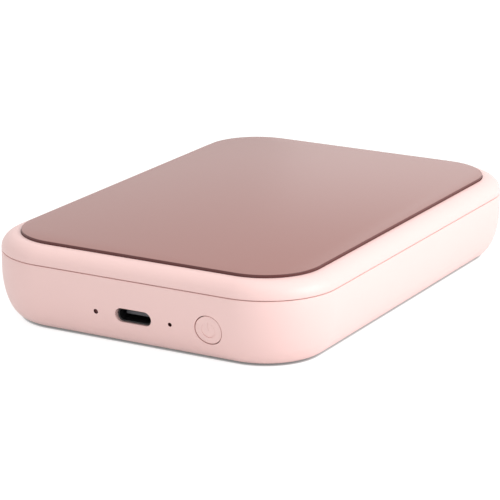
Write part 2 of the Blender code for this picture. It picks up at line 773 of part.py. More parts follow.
def screw(name, x, y, seat, length, material):
    profile = [
        (0, SCREW_HEAD_HEIGHT),
        (SCREW_FACE_RADIUS, SCREW_HEAD_HEIGHT),
        (SCREW_HEAD_RADIUS, SCREW_HEAD_HEIGHT / 2),
        (SCREW_HEAD_RADIUS, 0),
        (SCREW_RADIUS, 0),
        (SCREW_RADIUS, -length),
        (0, -length),
    ]
    obj = turned(profile, (x, y, seat + SEAT), (0, 0, 1), SMALL_STEPS)
    name_part(obj, name, material)


# Board, sockets, switches and battery

def board_back():
    """Y of the board's edge that faces the battery."""
    return -HALF_LENGTH + inner_inset(BOARD_TOP) + SEAT + BOARD_DEPTH


def flange_front():
    deepest = inner_inset(BUTTON_Z - FLANGE_RADIUS)
    return -HALF_LENGTH + deepest + SEAT


def stem_end():
    return flange_front() + FLANGE_THICKNESS + STEM_LENGTH


def switch_front():
    """The power switch stands back by the button's travel and a seat."""
    return stem_end() + SEAT + BUTTON_TRAVEL + SEAT


def main_board(material):
    low = (-BOARD_HALF_WIDTH, board_back() - BOARD_DEPTH - WALL, BOARD_TOP - BOARD_THICKNESS)
    board = block(low, (BOARD_HALF_WIDTH, board_back(), BOARD_TOP))
    keep_inside(board, cavity(SEAT))
    half = FLANGE_RADIUS + SEAT
    notch_back = flange_front() + FLANGE_THICKNESS + BUTTON_TRAVEL + SEAT
    notch = block(
        (BUTTON_X - half, -HALF_LENGTH, 0.0), (BUTTON_X + half, notch_back, BOARD_TOP + WALL)
    )
    return name_part(cut(board, notch), "main_board", material)


def socket(shell_material, tongue_material):
    mouth = end_face(PORT_Z) + SHELL_SETBACK
    shell = prism(port_outline(SHELL_WIDTH, SHELL_HEIGHT), "Y", mouth, mouth + SHELL_DEPTH)
    bore = port_outline(SHELL_WIDTH - 2 * SHELL_WALL, SHELL_HEIGHT - 2 * SHELL_WALL)
    back = mouth + SHELL_DEPTH - 2 * SHELL_WALL
    cut(shell, prism(bore, "Y", mouth - WALL, back))
    name_part(shell, "usb_shell", shell_material)
    front = back - SEAT - TONGUE_LENGTH
    tongue = block(
        (PORT_X - TONGUE_WIDTH / 2, front, PORT_Z - TONGUE_THICKNESS / 2),
        (PORT_X + TONGUE_WIDTH / 2, back - SEAT, PORT_Z + TONGUE_THICKNESS / 2),
    )
    name_part(tongue, "usb_tongue", tongue_material)


def power_button(material, plunger_material):
    """Cap, flange and stem turned in one, its face shaped like the case's end."""
    front = -HALF_LENGTH - WALL
    flange = flange_front()
    profile = [
        (0, stem_end() - front),
        (STEM_RADIUS, stem_end() - front),
        (STEM_RADIUS, flange + FLANGE_THICKNESS - front),
        (FLANGE_RADIUS, flange + FLANGE_THICKNESS - front),
        (FLANGE_RADIUS, flange - front),
        (BUTTON_RADIUS, flange - front),
        (BUTTON_RADIUS, 0),
        (0, 0),
    ]
    button = turned(profile, (BUTTON_X, front, BUTTON_Z), (0, 1, 0), 2 * SMALL_STEPS)
    body = loft(belly_rings(FOOT_LIFT, BUTTON_RECESS) + [ring(BUTTON_RECESS, CASE_RIM)])
    name_part(keep_inside(button, body), "power_button", material)
    start = stem_end() + SEAT
    place = (BUTTON_X, BUTTON_Z)
    plunger = rod(PLUNGER_RADIUS, "Y", start, start + PLUNGER_LENGTH, place, SMALL_STEPS)
    name_part(plunger, "power_switch_plunger", plunger_material)


def switch(name, x, z, front, size, plunger_radius, plunger_end, travel, material):
    """Side-pressed switch on the board, open where its plunger goes in."""
    body = block(
        (x - size[0] / 2, front, BOARD_TOP + SEAT),
        (x + size[0] / 2, front + size[1], BOARD_TOP + size[2]),
    )
    depth = plunger_end + travel + SEAT
    well = rod(plunger_radius + FIT, "Y", front - SEAT, depth, (x, z), SMALL_STEPS)
    return name_part(cut(body, well), name, material)


def reset_parts(body_material, plunger_material):
    front = -HALF_LENGTH + inner_inset(PINHOLE_Z) + 2 * SEAT
    end = front + PLUNGER_LENGTH
    plunger = rod(RESET_PLUNGER_RADIUS, "Y", front, end, (RESET_X, PINHOLE_Z), SMALL_STEPS)
    name_part(plunger, "reset_plunger", plunger_material)
    body_front = front + RESET_TRAVEL + SEAT
    switch(
        "reset_switch", RESET_X, PINHOLE_Z, body_front, RESET_SWITCH_SIZE,
        RESET_PLUNGER_RADIUS, end, RESET_TRAVEL, body_material,
    )


def charge_lamp(pipe_material, lamp_material):
    front = end_face(PINHOLE_Z) + LAMP_RECESS
    place = (LAMP_X, PINHOLE_Z)
    pipe = rod(LAMP_HOLE_RADIUS - FIT, "Y", front, front + LAMP_LENGTH, place, SMALL_STEPS)
    name_part(pipe, "charge_light_pipe", pipe_material)
    start = front + LAMP_LENGTH + SEAT
    lamp = block(
        (LAMP_X - LAMP_WIDTH / 2, start, BOARD_TOP + SEAT),
        (LAMP_X + LAMP_WIDTH / 2, start + LAMP_DEPTH, PINHOLE_Z + LAMP_RISE),
    )
    name_part(lamp, "charge_lamp", lamp_material)


def board_chip(name, x, size, material):
    back = board_back() - 2 * SEAT
    base = BOARD_TOP + SEAT
    chip = block((x - size[0] / 2, back - size[1], base), (x + size[0] / 2, back, base + size[2]))
    return name_part(chip, name, material)


def battery(material):
    low, high = battery_limits()
    pack = block(low, high)
    bevel = pack.modifiers.new("Rounded edges", "BEVEL")
    bevel.width = BATTERY_EDGE
    bevel.segments = 2
    return name_part(pack, "battery", material)


def battery_lead(lead_material, socket_material):
    low, high = battery_limits()
    start_z = high[2] - BATTERY_HEIGHT / 3
    base = BOARD_TOP + SEAT
    back = board_back() - 2 * SEAT
    size = LEAD_SOCKET_SIZE
    left = LEAD_X - size[0] / 2
    plug = block((left, back - size[1], base), (left + size[0], back, base + size[2]))
    name_part(plug, "battery_socket", socket_material)
    end_z = base + size[2] / 2
    curve = bpy.data.curves.new("battery_lead", "CURVE")
    curve.dimensions = "3D"
    curve.bevel_depth = LEAD_RADIUS
    curve.bevel_resolution = 2
    curve.use_fill_caps = True
    spline = curve.splines.new("POLY")
    spline.points.add(LEAD_STEPS)
    from_y, to_y = low[1] - SEAT, back + SEAT
    for step, point in enumerate(spline.points):
        share = step / LEAD_STEPS
        z = start_z + (end_z - start_z) * (1 - math.cos(math.pi * share)) / 2
        point.co = (LEAD_X, from_y + (to_y - from_y) * share, z, 1.0)
    return name_part(add_object(curve), "battery_lead", lead_material)


# Paper tray

def paper_tray(material):
    """Bay with runners, roller windows, a finger notch and the gate that lets one sheet out."""
    outer = BAY_HALF + TRAY_WALL
    front = BAY_END + GATE_THICKNESS
    tray = block((-outer, BAY_START - TRAY_WALL, TRAY_BOTTOM), (outer, front, TRAY_TOP))
    cut(tray, block((-BAY_HALF, BAY_START, BAY_FLOOR), (BAY_HALF, BAY_END, TRAY_TOP + WALL)))
    gate_low = BAY_FLOOR + RUNNER_HEIGHT + GATE_GAP
    for low, high in ((BAY_FLOOR, gate_low), (GATE_TOP, TRAY_TOP + WALL)):
        cut(tray, block((-BAY_HALF, BAY_END - WALL, low), (BAY_HALF, front + WALL, high)))
    window = math.sqrt(max(0.0, PICKUP_RADIUS**2 - (TRAY_BOTTOM - PICKUP_Z) ** 2)) + 2 * SEAT
    half = PICKUP_ROLLER_LENGTH / 2 + 2 * SEAT
    for side in (-1, 1):
        x = side * PICKUP_ROLLER_X
        low = (x - half, PICKUP_Y - window, 0.0)
        cut(tray, block(low, (x + half, PICKUP_Y + window, TRAY_TOP)))
        for row in EAR_ROWS:
            limits = sorted((side * (BAY_HALF + TRAY_WALL / 2), side * (EAR_X + EAR_HALF)))
            low = (limits[0], row - EAR_HALF, TRAY_BOTTOM)
            join(tray, block(low, (limits[1], row + EAR_HALF, BAY_FLOOR)))
            place = (side * EAR_X, row)
            cut(tray, rod(SCREW_RADIUS + FIT, "Z", 0.0, TRAY_TOP, place, SMALL_STEPS))
    for x in (-RUNNER_OUTER, -RUNNER_INNER, RUNNER_INNER, RUNNER_OUTER):
        low = (x - RUNNER_WIDTH / 2, BAY_START + TRAY_WALL, BAY_FLOOR - TRAY_THICKNESS / 2)
        high = (x + RUNNER_WIDTH / 2, BAY_END - TRAY_WALL, BAY_FLOOR + RUNNER_HEIGHT)
        join(tray, block(low, high))
    start, end = BAY_START - 2 * TRAY_WALL, BAY_START + TRAY_WALL / 2
    place = (0.0, TRAY_TOP + NOTCH_RISE)
    cut(tray, rod(NOTCH_RADIUS, "Y", start, end, place, 2 * SMALL_STEPS))
    return name_part(tray, "paper_tray", material)


# Mechanism frame

def frame_tab_bottom():
    return MOTOR_Z


def cheek(side):
    """Side plate with shaft bores, notched for the print head's tail."""
    back = DRIVE_CHEEK_BACK if side > 0 else CHEEK_BACK
    low = FLOOR_TOP
    step = CHEEK_TOP - SHOULDER_DROP
    outline = [
        (back, low),
        (CHEEK_FRONT, low),
        (CHEEK_FRONT, CHEEK_TOP),
        (HEAD_BACK - SHOULDER_FRONT, CHEEK_TOP),
        (HEAD_BACK - SHOULDER_BACK, step),
        (back + SHOULDER_BEVEL, step),
        (back, step - SHOULDER_BEVEL),
    ]
    holes = [
        circle_outline(BUSH_RADIUS + FIT, ROUND_STEPS, (PLATEN_Y, PLATEN_Z)),
        circle_outline(PICKUP_SHAFT_RADIUS + FIT, ROUND_STEPS, (PICKUP_Y, PICKUP_Z)),
    ]
    if side > 0:
        motor_place = (MOTOR_Y, MOTOR_Z)
        holes.append(circle_outline(MOTOR_SHAFT_RADIUS + 2 * FIT, SMALL_STEPS, motor_place))
    pivot = (HEAD_PIVOT_Y, HEAD_PIVOT_Z)
    holes.append(circle_outline(HEAD_PIVOT_RADIUS + FIT, SMALL_STEPS, pivot))
    limits = sorted((side * CHEEK_X, side * CHEEK_OUTER))
    plate = prism(outline, "X", *limits, holes=holes)
    if side < 0:
        low = (-CHEEK_OUTER - WALL, TAIL_BACK - 2 * SEAT, HEAD_Z - 2 * SEAT)
        cut(plate, block(low, (-CHEEK_X + WALL, TAIL_FRONT + 2 * SEAT, CHEEK_TOP + WALL)))
    return plate


def mechanism_frame(material):
    """Two cheeks, the sheet guides and ties between them, and the gear posts, in one moulding."""
    frame = cheek(1)
    join(frame, cheek(-1))
    reach = CHEEK_X + CHEEK_THICKNESS / 2
    guide_top = PAPER_Z - GUIDE_GAP
    entry_end = PLATEN_Y - PLATEN_RADIUS - 2 * SEAT
    guide_low = guide_top - GUIDE_THICKNESS
    entry = [
        (GUIDE_START, guide_low),
        (entry_end, guide_low),
        (entry_end, guide_top),
        (GUIDE_START, BAY_FLOOR + RUNNER_HEIGHT / 2),
    ]
    exit_start = PLATEN_Y + PLATEN_RADIUS + 2 * SEAT
    leave = [
        (exit_start, guide_low),
        (HALF_LENGTH, guide_low),
        (HALF_LENGTH, guide_top - SEAT),
        (exit_start, guide_top),
    ]
    join(frame, prism(entry, "X", -reach, reach), prism(leave, "X", -reach, reach))
    web = (-reach, CHEEK_FRONT - 2 * TIE_THICKNESS, FLOOR_TOP)
    join(frame, block(web, (reach, web[1] + TIE_THICKNESS, guide_top - SEAT)))
    tie_top = frame_tab_bottom() + FRAME_TAB
    join(frame, block((-reach, TIE_Y, FLOOR_TOP), (reach, TIE_Y + TIE_THICKNESS, tie_top)))
    for side in (-1, 1):
        x = side * FRAME_SCREW_X
        tab = (x - BOSS_RADIUS, TIE_Y - 2 * BOSS_RADIUS, frame_tab_bottom())
        join(frame, block(tab, (x + BOSS_RADIUS, TIE_Y + TIE_THICKNESS / 2, tie_top)))
        place = (x, TIE_Y - BOSS_RADIUS)
        cut(frame, rod(SCREW_RADIUS + FIT, "Z", 0.0, CHEEK_TOP, place, SMALL_STEPS))
    pin_start = CHEEK_OUTER - CHEEK_THICKNESS / 2
    idler_end = GEAR_PLANE + GEAR_WIDTH + SEAT
    join(frame, rod(PIN_RADIUS, "X", pin_start, idler_end, (IDLER_Y, PLATEN_Z), SMALL_STEPS))
    reducer_end = FAST_PLANE + FAST_WIDTH + SEAT
    join(frame, rod(PIN_RADIUS, "X", pin_start, reducer_end, (REDUCER_Y, REDUCER_Z), SMALL_STEPS))
    keep_inside(frame, cavity(SEAT))
    return name_part(frame, "mechanism_frame", material)


def bushings(material):
    for side, name in ((-1, "platen_bushing_left"), (1, "platen_bushing_right")):
        bore = PLATEN_SHAFT_RADIUS + FIT
        length = CHEEK_THICKNESS + BUSH_FLANGE + SEAT
        under = length - BUSH_FLANGE
        flange = [(bore, length), (BUSH_FLANGE_RADIUS, length), (BUSH_FLANGE_RADIUS, under)]
        profile = [*flange, (BUSH_RADIUS, under), (BUSH_RADIUS, 0), (bore, 0)]
        place = (side * CHEEK_OUTER, PLATEN_Y, PLATEN_Z)
        name_part(turned(profile, place, (-side, 0, 0)), name, material)


# Rollers and gears

def ring_profile(bore, radius, length):
    return [(bore, length), (radius, length), (radius, 0), (bore, 0)]


def rollers(steel, rubber, soft_rubber):
    platen = (PLATEN_Y, PLATEN_Z)
    shaft = rod(PLATEN_SHAFT_RADIUS, "X", -CHEEK_OUTER - SEAT, SHAFT_END, platen)
    name_part(shaft, "platen_shaft", steel)
    sleeve = ring_profile(PLATEN_SHAFT_RADIUS + FIT, PLATEN_RADIUS, 2 * PLATEN_HALF_LENGTH)
    place = (-PLATEN_HALF_LENGTH, *platen)
    name_part(turned(sleeve, place, (1, 0, 0), 2 * SMALL_STEPS), "platen_roller", rubber)
    pickup = (PICKUP_Y, PICKUP_Z)
    shaft = rod(PICKUP_SHAFT_RADIUS, "X", -CHEEK_OUTER - SEAT, SHAFT_END, pickup)
    name_part(shaft, "pickup_shaft", steel)
    for side, name in ((-1, "pickup_roller_left"), (1, "pickup_roller_right")):
        sleeve = ring_profile(PICKUP_SHAFT_RADIUS + FIT, PICKUP_RADIUS, PICKUP_ROLLER_LENGTH)
        place = (side * PICKUP_ROLLER_X - PICKUP_ROLLER_LENGTH / 2, *pickup)
        name_part(turned(sleeve, place, (1, 0, 0)), name, soft_rubber)


def spur_gear(name, teeth, module, phase, axis, bore, plane, width, material):
    """Gear on an axis along X; axis is its (Y, Z)."""
    outline = gear_outline(teeth, module, phase)
    hole = circle_outline(bore + FIT, SMALL_STEPS)
    gear = flat(outline, "X", plane, plane + width, holes=[hole])
    gear.location[1] = axis[0]
    gear.location[2] = axis[1]
    return name_part(gear, name, material)


def gear_train(material, pinion_material):
    """Motor pinion, stepped reducer, pickup gear, idler and platen gear, all in mesh at rest."""
    pickup_phase = 0.0
    idler_phase = meshed_phase(pickup_phase, PICKUP_TEETH, IDLER_TEETH, 0.0)
    platen_phase = meshed_phase(idler_phase, IDLER_TEETH, PLATEN_TEETH, 0.0)
    reducer_phase = meshed_phase(pickup_phase, PICKUP_TEETH, REDUCER_SMALL_TEETH, REDUCER_ANGLE)
    pinion_phase = meshed_phase(reducer_phase, REDUCER_LARGE_TEETH, PINION_TEETH, PINION_ANGLE)
    slow = (
        ("platen_gear", PLATEN_TEETH, platen_phase, (PLATEN_Y, PLATEN_Z), PLATEN_SHAFT_RADIUS),
        ("idler_gear", IDLER_TEETH, idler_phase, (IDLER_Y, PLATEN_Z), PIN_RADIUS),
        ("pickup_gear", PICKUP_TEETH, pickup_phase, (PICKUP_Y, PICKUP_Z), PICKUP_SHAFT_RADIUS),
    )
    for name, teeth, phase, axis, bore in slow:
        spur_gear(name, teeth, MODULE, phase, axis, bore, GEAR_PLANE, GEAR_WIDTH, material)
    reducer = (REDUCER_Y, REDUCER_Z)
    large = spur_gear(
        "reduction_gear", REDUCER_LARGE_TEETH, FAST_MODULE, reducer_phase, reducer,
        PIN_RADIUS, FAST_PLANE, FAST_WIDTH, material,
    )
    small = spur_gear(
        "step", REDUCER_SMALL_TEETH, MODULE, reducer_phase, reducer,
        PIN_RADIUS, GEAR_PLANE, FAST_PLANE - GEAR_PLANE + SEAT, material,
    )
    name_part(join(solid(large), solid(small)), "reduction_gear", material)
    motor = (MOTOR_Y, MOTOR_Z)
    pinion = spur_gear(
        "pinion", PINION_TEETH, FAST_MODULE, pinion_phase, motor,
        MOTOR_SHAFT_RADIUS / 2, FAST_PLANE, FAST_WIDTH, pinion_material,
    )
    axle_end = FAST_PLANE + FAST_WIDTH + SEAT
    axle = rod(MOTOR_SHAFT_RADIUS, "X", CHEEK_X - 2 * SEAT, axle_end, motor, SMALL_STEPS)
    name_part(join(solid(pinion), axle), "motor_pinion", pinion_material)


# Motor

def motor_saddles():
    end = CHEEK_X - SEAT
    return (end - MOTOR_LENGTH + 2 * SADDLE_WIDTH, end - 2 * SADDLE_WIDTH)


def motor(material):
    """Motor can with a front bearing boss bored for the shaft."""
    end = CHEEK_X - SEAT
    bore = MOTOR_SHAFT_RADIUS + 2 * FIT
    back = MOTOR_LENGTH - SEAT
    profile = [
        (0, MOTOR_LENGTH),
        (MOTOR_RADIUS / 2, MOTOR_LENGTH),
        (MOTOR_RADIUS / 2, back),
        (MOTOR_RADIUS, back),
        (MOTOR_RADIUS, 0),
        (bore, 0),
        (bore, 4 * SEAT),
        (0, 4 * SEAT),
    ]
    can = turned(profile, (end, MOTOR_Y, MOTOR_Z), (-1, 0, 0))
    return name_part(can, "motor", material)


# Print head

def print_head(ceramic, aluminium, connector_material):
    top = HEAD_Z + HEAD_THICKNESS
    board = block((-HEAD_HALF_WIDTH, HEAD_BACK, HEAD_Z), (HEAD_HALF_WIDTH, HEAD_FRONT, top))
    tail = block((-TAIL_END, TAIL_BACK, HEAD_Z), (-HEAD_HALF_WIDTH + WALL, TAIL_FRONT, top))
    name_part(join(board, tail), "print_head", ceramic)
    back = HEAD_BACK - SEAT
    corner = (HEAD_HALF_WIDTH, SINK_FRONT, SINK_Z + SINK_THICKNESS)
    plate = block((-HEAD_HALF_WIDTH, back, SINK_Z), corner)
    pitch = (SINK_FRONT - back) / (2 * SINK_FINS)
    for fin in range(SINK_FINS):
        start = back + pitch * (2 * fin + 1 / 2)
        low = (-HEAD_HALF_WIDTH + WALL, start, SINK_Z + SINK_THICKNESS / 2)
        join(plate, block(low, (HEAD_HALF_WIDTH - WALL, start + pitch, SINK_TOP)))
    pivot = (HEAD_PIVOT_Y, HEAD_PIVOT_Z)
    reach = CHEEK_OUTER - SEAT
    join(plate, rod(HEAD_PIVOT_RADIUS - FIT / 2, "X", -reach, reach, pivot, SMALL_STEPS))
    name_part(plate, "head_heat_sink", aluminium)
    middle = (TAIL_BACK + TAIL_FRONT) / 2
    connector = block(
        (-TAIL_END + SEAT, middle - CONNECTOR_HALF, top + SEAT),
        (-CHEEK_OUTER - SEAT, middle + CONNECTOR_HALF, top + SEAT + CONNECTOR_HEIGHT),
    )
    name_part(connector, "head_connector", connector_material)


def head_bridge(steel, spring_steel):
    """Steel bridge over the print head, and the leaf that presses the head down."""
    low = CHEEK_TOP + SEAT
    reach = CHEEK_OUTER + SEAT + BRIDGE_THICKNESS
    bridge = block((-reach, BRIDGE_BACK, low), (reach, BRIDGE_FRONT, low + BRIDGE_THICKNESS))
    for side in (-1, 1):
        limits = sorted((side * (CHEEK_OUTER + SEAT), side * reach))
        tab_low = (limits[0], TAIL_FRONT + 3 * SEAT, CHEEK_TOP - BRIDGE_TAB_DROP)
        tab_high = (limits[1], BRIDGE_FRONT - BRIDGE_TAB_MARGIN, low + BRIDGE_THICKNESS / 2)
        join(bridge, block(tab_low, tab_high))
        for row in (-WINDOW_ROW, WINDOW_ROW):
            x = side * HEAD_HALF_WIDTH / 2
            window = rounded_outline(HEAD_HALF_WIDTH / 3, WINDOW_HALF, WINDOW_RADIUS, 3)
            outline = [(x + px, BRIDGE_MIDDLE + row + py) for px, py in window]
            cut(bridge, prism(outline, "Z", low - WALL, low + WALL))
    name_part(bridge, "head_bridge", steel)
    highest = CHEEK_TOP + SEAT - FIT - LEAF_THICKNESS
    touch = SINK_TOP + SEAT
    curve = []
    for step in range(LEAF_STEPS + 1):
        share = -1 + 2 * step / LEAF_STEPS
        curve.append((share * LEAF_HALF_LENGTH, touch + (highest - touch) * share * share))
    leaf = curve + [(x, z + LEAF_THICKNESS) for x, z in reversed(curve)]
    limits = (BRIDGE_MIDDLE - LEAF_HALF_WIDTH, BRIDGE_MIDDLE + LEAF_HALF_WIDTH)
    name_part(flat(leaf, "Y", *limits), "head_leaf_spring", spring_steel)


def head_ribbon(material, socket_material):
    """Flat cable on edge in the left channel, from the head's tail to the board."""
    start = (-(TAIL_END + 2 * SEAT), (TAIL_BACK + TAIL_FRONT) / 2)
    end = (-(BOARD_HALF_WIDTH + SEAT + RIBBON_MARGIN), board_back() - RIBBON_SETBACK)
    path = []
    for anchor, near, reach in ((start, 0, -RIBBON_BEND), (end, 1, RIBBON_BEND)):
        for step in range(RIBBON_STEPS + 1):
            share = abs(near - step / RIBBON_STEPS)
            ease = (1 - math.cos(math.pi * share)) / 2
            x = anchor[0] + (-RIBBON_X - anchor[0]) * ease
            path.append((x, anchor[1] + reach * share))
    outline = path + [(x - RIBBON_THICKNESS, y) for x, y in reversed(path)]
    ribbon = flat(outline, "Z", RIBBON_LOW, RIBBON_LOW + RIBBON_HEIGHT)
    name_part(ribbon, "head_ribbon", material)
    size = RIBBON_SOCKET_SIZE
    low = (-BOARD_HALF_WIDTH + SEAT, end[1] - size[1] / 3, BOARD_TOP + SEAT)
    high = tuple(low[axis] + size[axis] for axis in range(3))
    name_part(block(low, high), "ribbon_socket", socket_material)


# Cover

def cover_hook(side, row):
    """Arm with an outward foot whose top runs parallel to the ledge's ramp."""
    rise = math.tan(SLIDE_SLOPE)
    ledge_low = CASE_RIM - LEDGE_DROP
    start = row - HOOK_OVERHANG
    end = start + HOOK_LENGTH
    foot_low = ledge_low - HOOK_FOOT_DEPTH - SEAT
    arm_outer = LEDGE_INNER - SEAT
    limits = sorted((side * (arm_outer - HOOK_THICKNESS), side * arm_outer))
    arm = block((limits[0], start, foot_low), (limits[1], end, CEILING + ROOF / 3))
    ramp = ledge_low - HOOK_PLAY
    outline = [
        (start, foot_low),
        (end, foot_low),
        (end, ramp + (end - row) * rise),
        (start, ramp + (start - row) * rise),
    ]
    limits = sorted((side * (arm_outer - HOOK_THICKNESS / 2), side * (LIP_INNER - SEAT)))
    return arm, prism(outline, "X", *limits)


def top_cover(material):
    """Dished lid with a pocket for the plate, hooks and the pressure plate's lugs."""
    pocket_inset = PLATE_INSET - PLATE_CLEARANCE
    pocket_radius = PLATE_RADIUS + PLATE_CLEARANCE
    outside = [ring(0.0, COVER_RIM)] + crown_rings(CROWN_TOP, 0.0, CROWN_INSET)
    pocket = [ring(pocket_inset, height, pocket_radius) for height in (CROWN_TOP, POCKET_FLOOR)]
    inside = [ring(WALL, COVER_RIM)] + crown_rings(CEILING, WALL, CROWN_INSET + ROOF)
    cover = loft(pocket[::-1] + outside[::-1] + inside)
    for side in (-1, 1):
        for row in HOOK_ROWS:
            join(cover, *cover_hook(side, row))
        inner = FLAP_HALF_WIDTH + SEAT
        limits = sorted((side * inner, side * (inner + FLAP_PIN_LENGTH)))
        drop = HINGE_Z - 2 * FLAP_PIN_RADIUS - FIT
        low = (limits[0], FLAP_HINGE_Y - FLAP_LUG_HALF, drop)
        join(cover, block(low, (limits[1], FLAP_HINGE_Y + FLAP_LUG_HALF, CEILING + ROOF / 3)))
        place = (FLAP_HINGE_Y, HINGE_Z)
        start, end = limits[0] - WALL, limits[1] + WALL
        cut(cover, rod(FLAP_PIN_RADIUS + FIT, "X", start, end, place, SMALL_STEPS))
    return name_part(cover, "top_cover", material)


def cover_plate(material):
    low = POCKET_FLOOR + SEAT
    rings = [
        ring(PLATE_INSET, low, PLATE_RADIUS),
        ring(PLATE_INSET, CASE_HEIGHT - PLATE_CHAMFER, PLATE_RADIUS),
        ring(PLATE_INSET + PLATE_CHAMFER, CASE_HEIGHT, PLATE_RADIUS - PLATE_CHAMFER),
    ]
    return name_part(loft(rings), "cover_plate", material)


def pressure_plate(material, pad_material):
    """Flap hinged under the cover; it and its pad hang from a tilted empty on the hinge's axis."""
    hinge = bpy.data.objects.new("pressure_plate_hinge", None)
    collection(PARTS).objects.link(hinge)
    hinge.location = (0.0, FLAP_HINGE_Y, HINGE_Z)
    hinge.rotation_euler = (-FLAP_TILT, 0.0, 0.0)
    half = FLAP_THICKNESS / 2
    plate = block((-FLAP_HALF_WIDTH, -half, -half), (FLAP_HALF_WIDTH, FLAP_LENGTH, half))
    reach = FLAP_HALF_WIDTH + FLAP_PIN_LENGTH
    join(plate, rod(FLAP_PIN_RADIUS, "X", -reach, reach, (0.0, 0.0), SMALL_STEPS))
    plate.parent = hinge
    for tool in [modifier.object for modifier in plate.modifiers]:
        tool.parent = hinge
    name_part(plate, "pressure_plate", material)
    top = -half - FIT
    pad_low = (-FLAP_HALF_WIDTH + FIT, FLAP_LENGTH - PAD_LENGTH, top - PAD_THICKNESS)
    pad = block(pad_low, (FLAP_HALF_WIDTH - FIT, FLAP_LENGTH - FIT, top))
    pad.parent = hinge
    name_part(pad, "pressure_pad", pad_material)


def pressure_springs(material):
    """Coils between the cover's ceiling and the pressure plate."""
    reach = SPRING_Y - FLAP_HINGE_Y
    plate_top = HINGE_Z - reach * math.tan(FLAP_TILT) + FLAP_THICKNESS / 2 / math.cos(FLAP_TILT)
    low = plate_top + SPRING_RADIUS * math.tan(FLAP_TILT) + SPRING_WIRE + SEAT
    high = CEILING - SPRING_WIRE - FIT
    count = SPRING_TURNS * SPRING_STEPS
    for side, name in ((-1, "pressure_spring_left"), (1, "pressure_spring_right")):
        curve = bpy.data.curves.new(name, "CURVE")
        curve.dimensions = "3D"
        curve.bevel_depth = SPRING_WIRE
        curve.bevel_resolution = 1
        curve.use_fill_caps = True
        spline = curve.splines.new("POLY")
        spline.points.add(count)
        for step, point in enumerate(spline.points):
            angle = 2 * math.pi * step / SPRING_STEPS
            x = side * SPRING_X + SPRING_RADIUS * math.cos(angle)
            y = SPRING_Y + SPRING_RADIUS * math.sin(angle)
            point.co = (x, y, low + (high - low) * step / count, 1.0)
        name_part(add_object(curve), name, material)


def build():
    clear_scene()
    pink = finish("blush_plastic", (0.80, 0.56, 0.53), 0.45)
    rose = finish("rose_plate", (0.42, 0.25, 0.22), 0.25)
    grey = finish("grey_moulding", (0.10, 0.10, 0.11), 0.55)
    dark = finish("black_plastic", (0.02, 0.02, 0.02), 0.5)
    white = finish("white_plastic", (0.75, 0.75, 0.72), 0.5)
    steel = finish("steel", (0.60, 0.60, 0.62), 0.3, 1.0)
    aluminium = finish("aluminium", (0.75, 0.76, 0.78), 0.4, 1.0)
    brass = finish("brass", (0.75, 0.55, 0.25), 0.35, 1.0)
    rubber = finish("rubber", (0.03, 0.03, 0.03), 0.8)
    green = finish("board_green", (0.02, 0.16, 0.08), 0.4)
    ceramic = finish("ceramic", (0.70, 0.70, 0.66), 0.3)
    foil = finish("battery_foil", (0.70, 0.70, 0.72), 0.35, 0.8)
    clear = finish("light_pipe", (0.50, 0.20, 0.18), 0.2)
    cork = finish("cork_pad", (0.36, 0.24, 0.14), 0.9)
    lower_case(pink)
    feet(rubber)
    main_board(green)
    socket(steel, dark)
    power_button(pink, white)
    start = stem_end() + SEAT
    switch(
        "power_switch", BUTTON_X, BUTTON_Z, switch_front(), SWITCH_SIZE,
        PLUNGER_RADIUS, start + PLUNGER_LENGTH, BUTTON_TRAVEL, dark,
    )
    reset_parts(dark, white)
    charge_lamp(clear, white)
    board_chip("controller_chip", CHIP_X, CHIP_SIZE, dark)
    board_chip("radio_module", RADIO_X, RADIO_SIZE, steel)
    battery(foil)
    battery_lead(rubber, white)
    paper_tray(grey)
    mechanism_frame(dark)
    bushings(brass)
    rollers(steel, rubber, rubber)
    gear_train(white, brass)
    motor(steel)
    print_head(ceramic, aluminium, white)
    head_bridge(steel, steel)
    head_ribbon(white, white)
    for side, label in ((-1, "left"), (1, "right")):
        for row, place in zip(EAR_ROWS, ("socket", "paper")):
            name = f"tray_screw_{place}_{label}"
            screw(name, side * EAR_X, row, BAY_FLOOR, SCREW_LENGTH, steel)
        top = frame_tab_bottom() + FRAME_TAB
        place = (side * FRAME_SCREW_X, TIE_Y - BOSS_RADIUS, top)
        screw(f"frame_screw_{label}", *place, FRAME_SCREW_LENGTH, steel)
    top_cover(pink)
    cover_plate(rose)
    pressure_plate(grey, cork)
    pressure_springs(steel)


build()
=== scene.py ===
"""The looks of a pocket photo printer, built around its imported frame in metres, +Z up."""

import json
import logging
import math
from dataclasses import dataclass, field
from enum import Enum

import bmesh
import bpy
from mathutils import Matrix, Vector


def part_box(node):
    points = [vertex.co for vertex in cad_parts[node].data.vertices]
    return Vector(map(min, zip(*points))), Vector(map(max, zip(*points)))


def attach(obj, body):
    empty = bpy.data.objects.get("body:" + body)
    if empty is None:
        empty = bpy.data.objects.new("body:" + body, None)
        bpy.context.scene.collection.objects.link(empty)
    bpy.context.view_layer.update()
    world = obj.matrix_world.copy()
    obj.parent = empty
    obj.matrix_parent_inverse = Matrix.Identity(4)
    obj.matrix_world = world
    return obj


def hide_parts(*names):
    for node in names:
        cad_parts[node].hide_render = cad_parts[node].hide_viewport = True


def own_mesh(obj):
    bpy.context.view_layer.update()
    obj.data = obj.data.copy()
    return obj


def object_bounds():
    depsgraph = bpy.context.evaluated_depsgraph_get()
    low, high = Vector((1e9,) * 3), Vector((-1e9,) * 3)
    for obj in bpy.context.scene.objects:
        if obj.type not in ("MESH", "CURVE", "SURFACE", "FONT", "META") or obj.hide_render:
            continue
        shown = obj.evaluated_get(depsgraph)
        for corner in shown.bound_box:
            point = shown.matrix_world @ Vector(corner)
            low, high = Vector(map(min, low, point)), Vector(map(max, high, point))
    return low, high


Mesh = bmesh.types.BMesh
Tree = bpy.types.NodeTree
Socket = bpy.types.NodeSocket

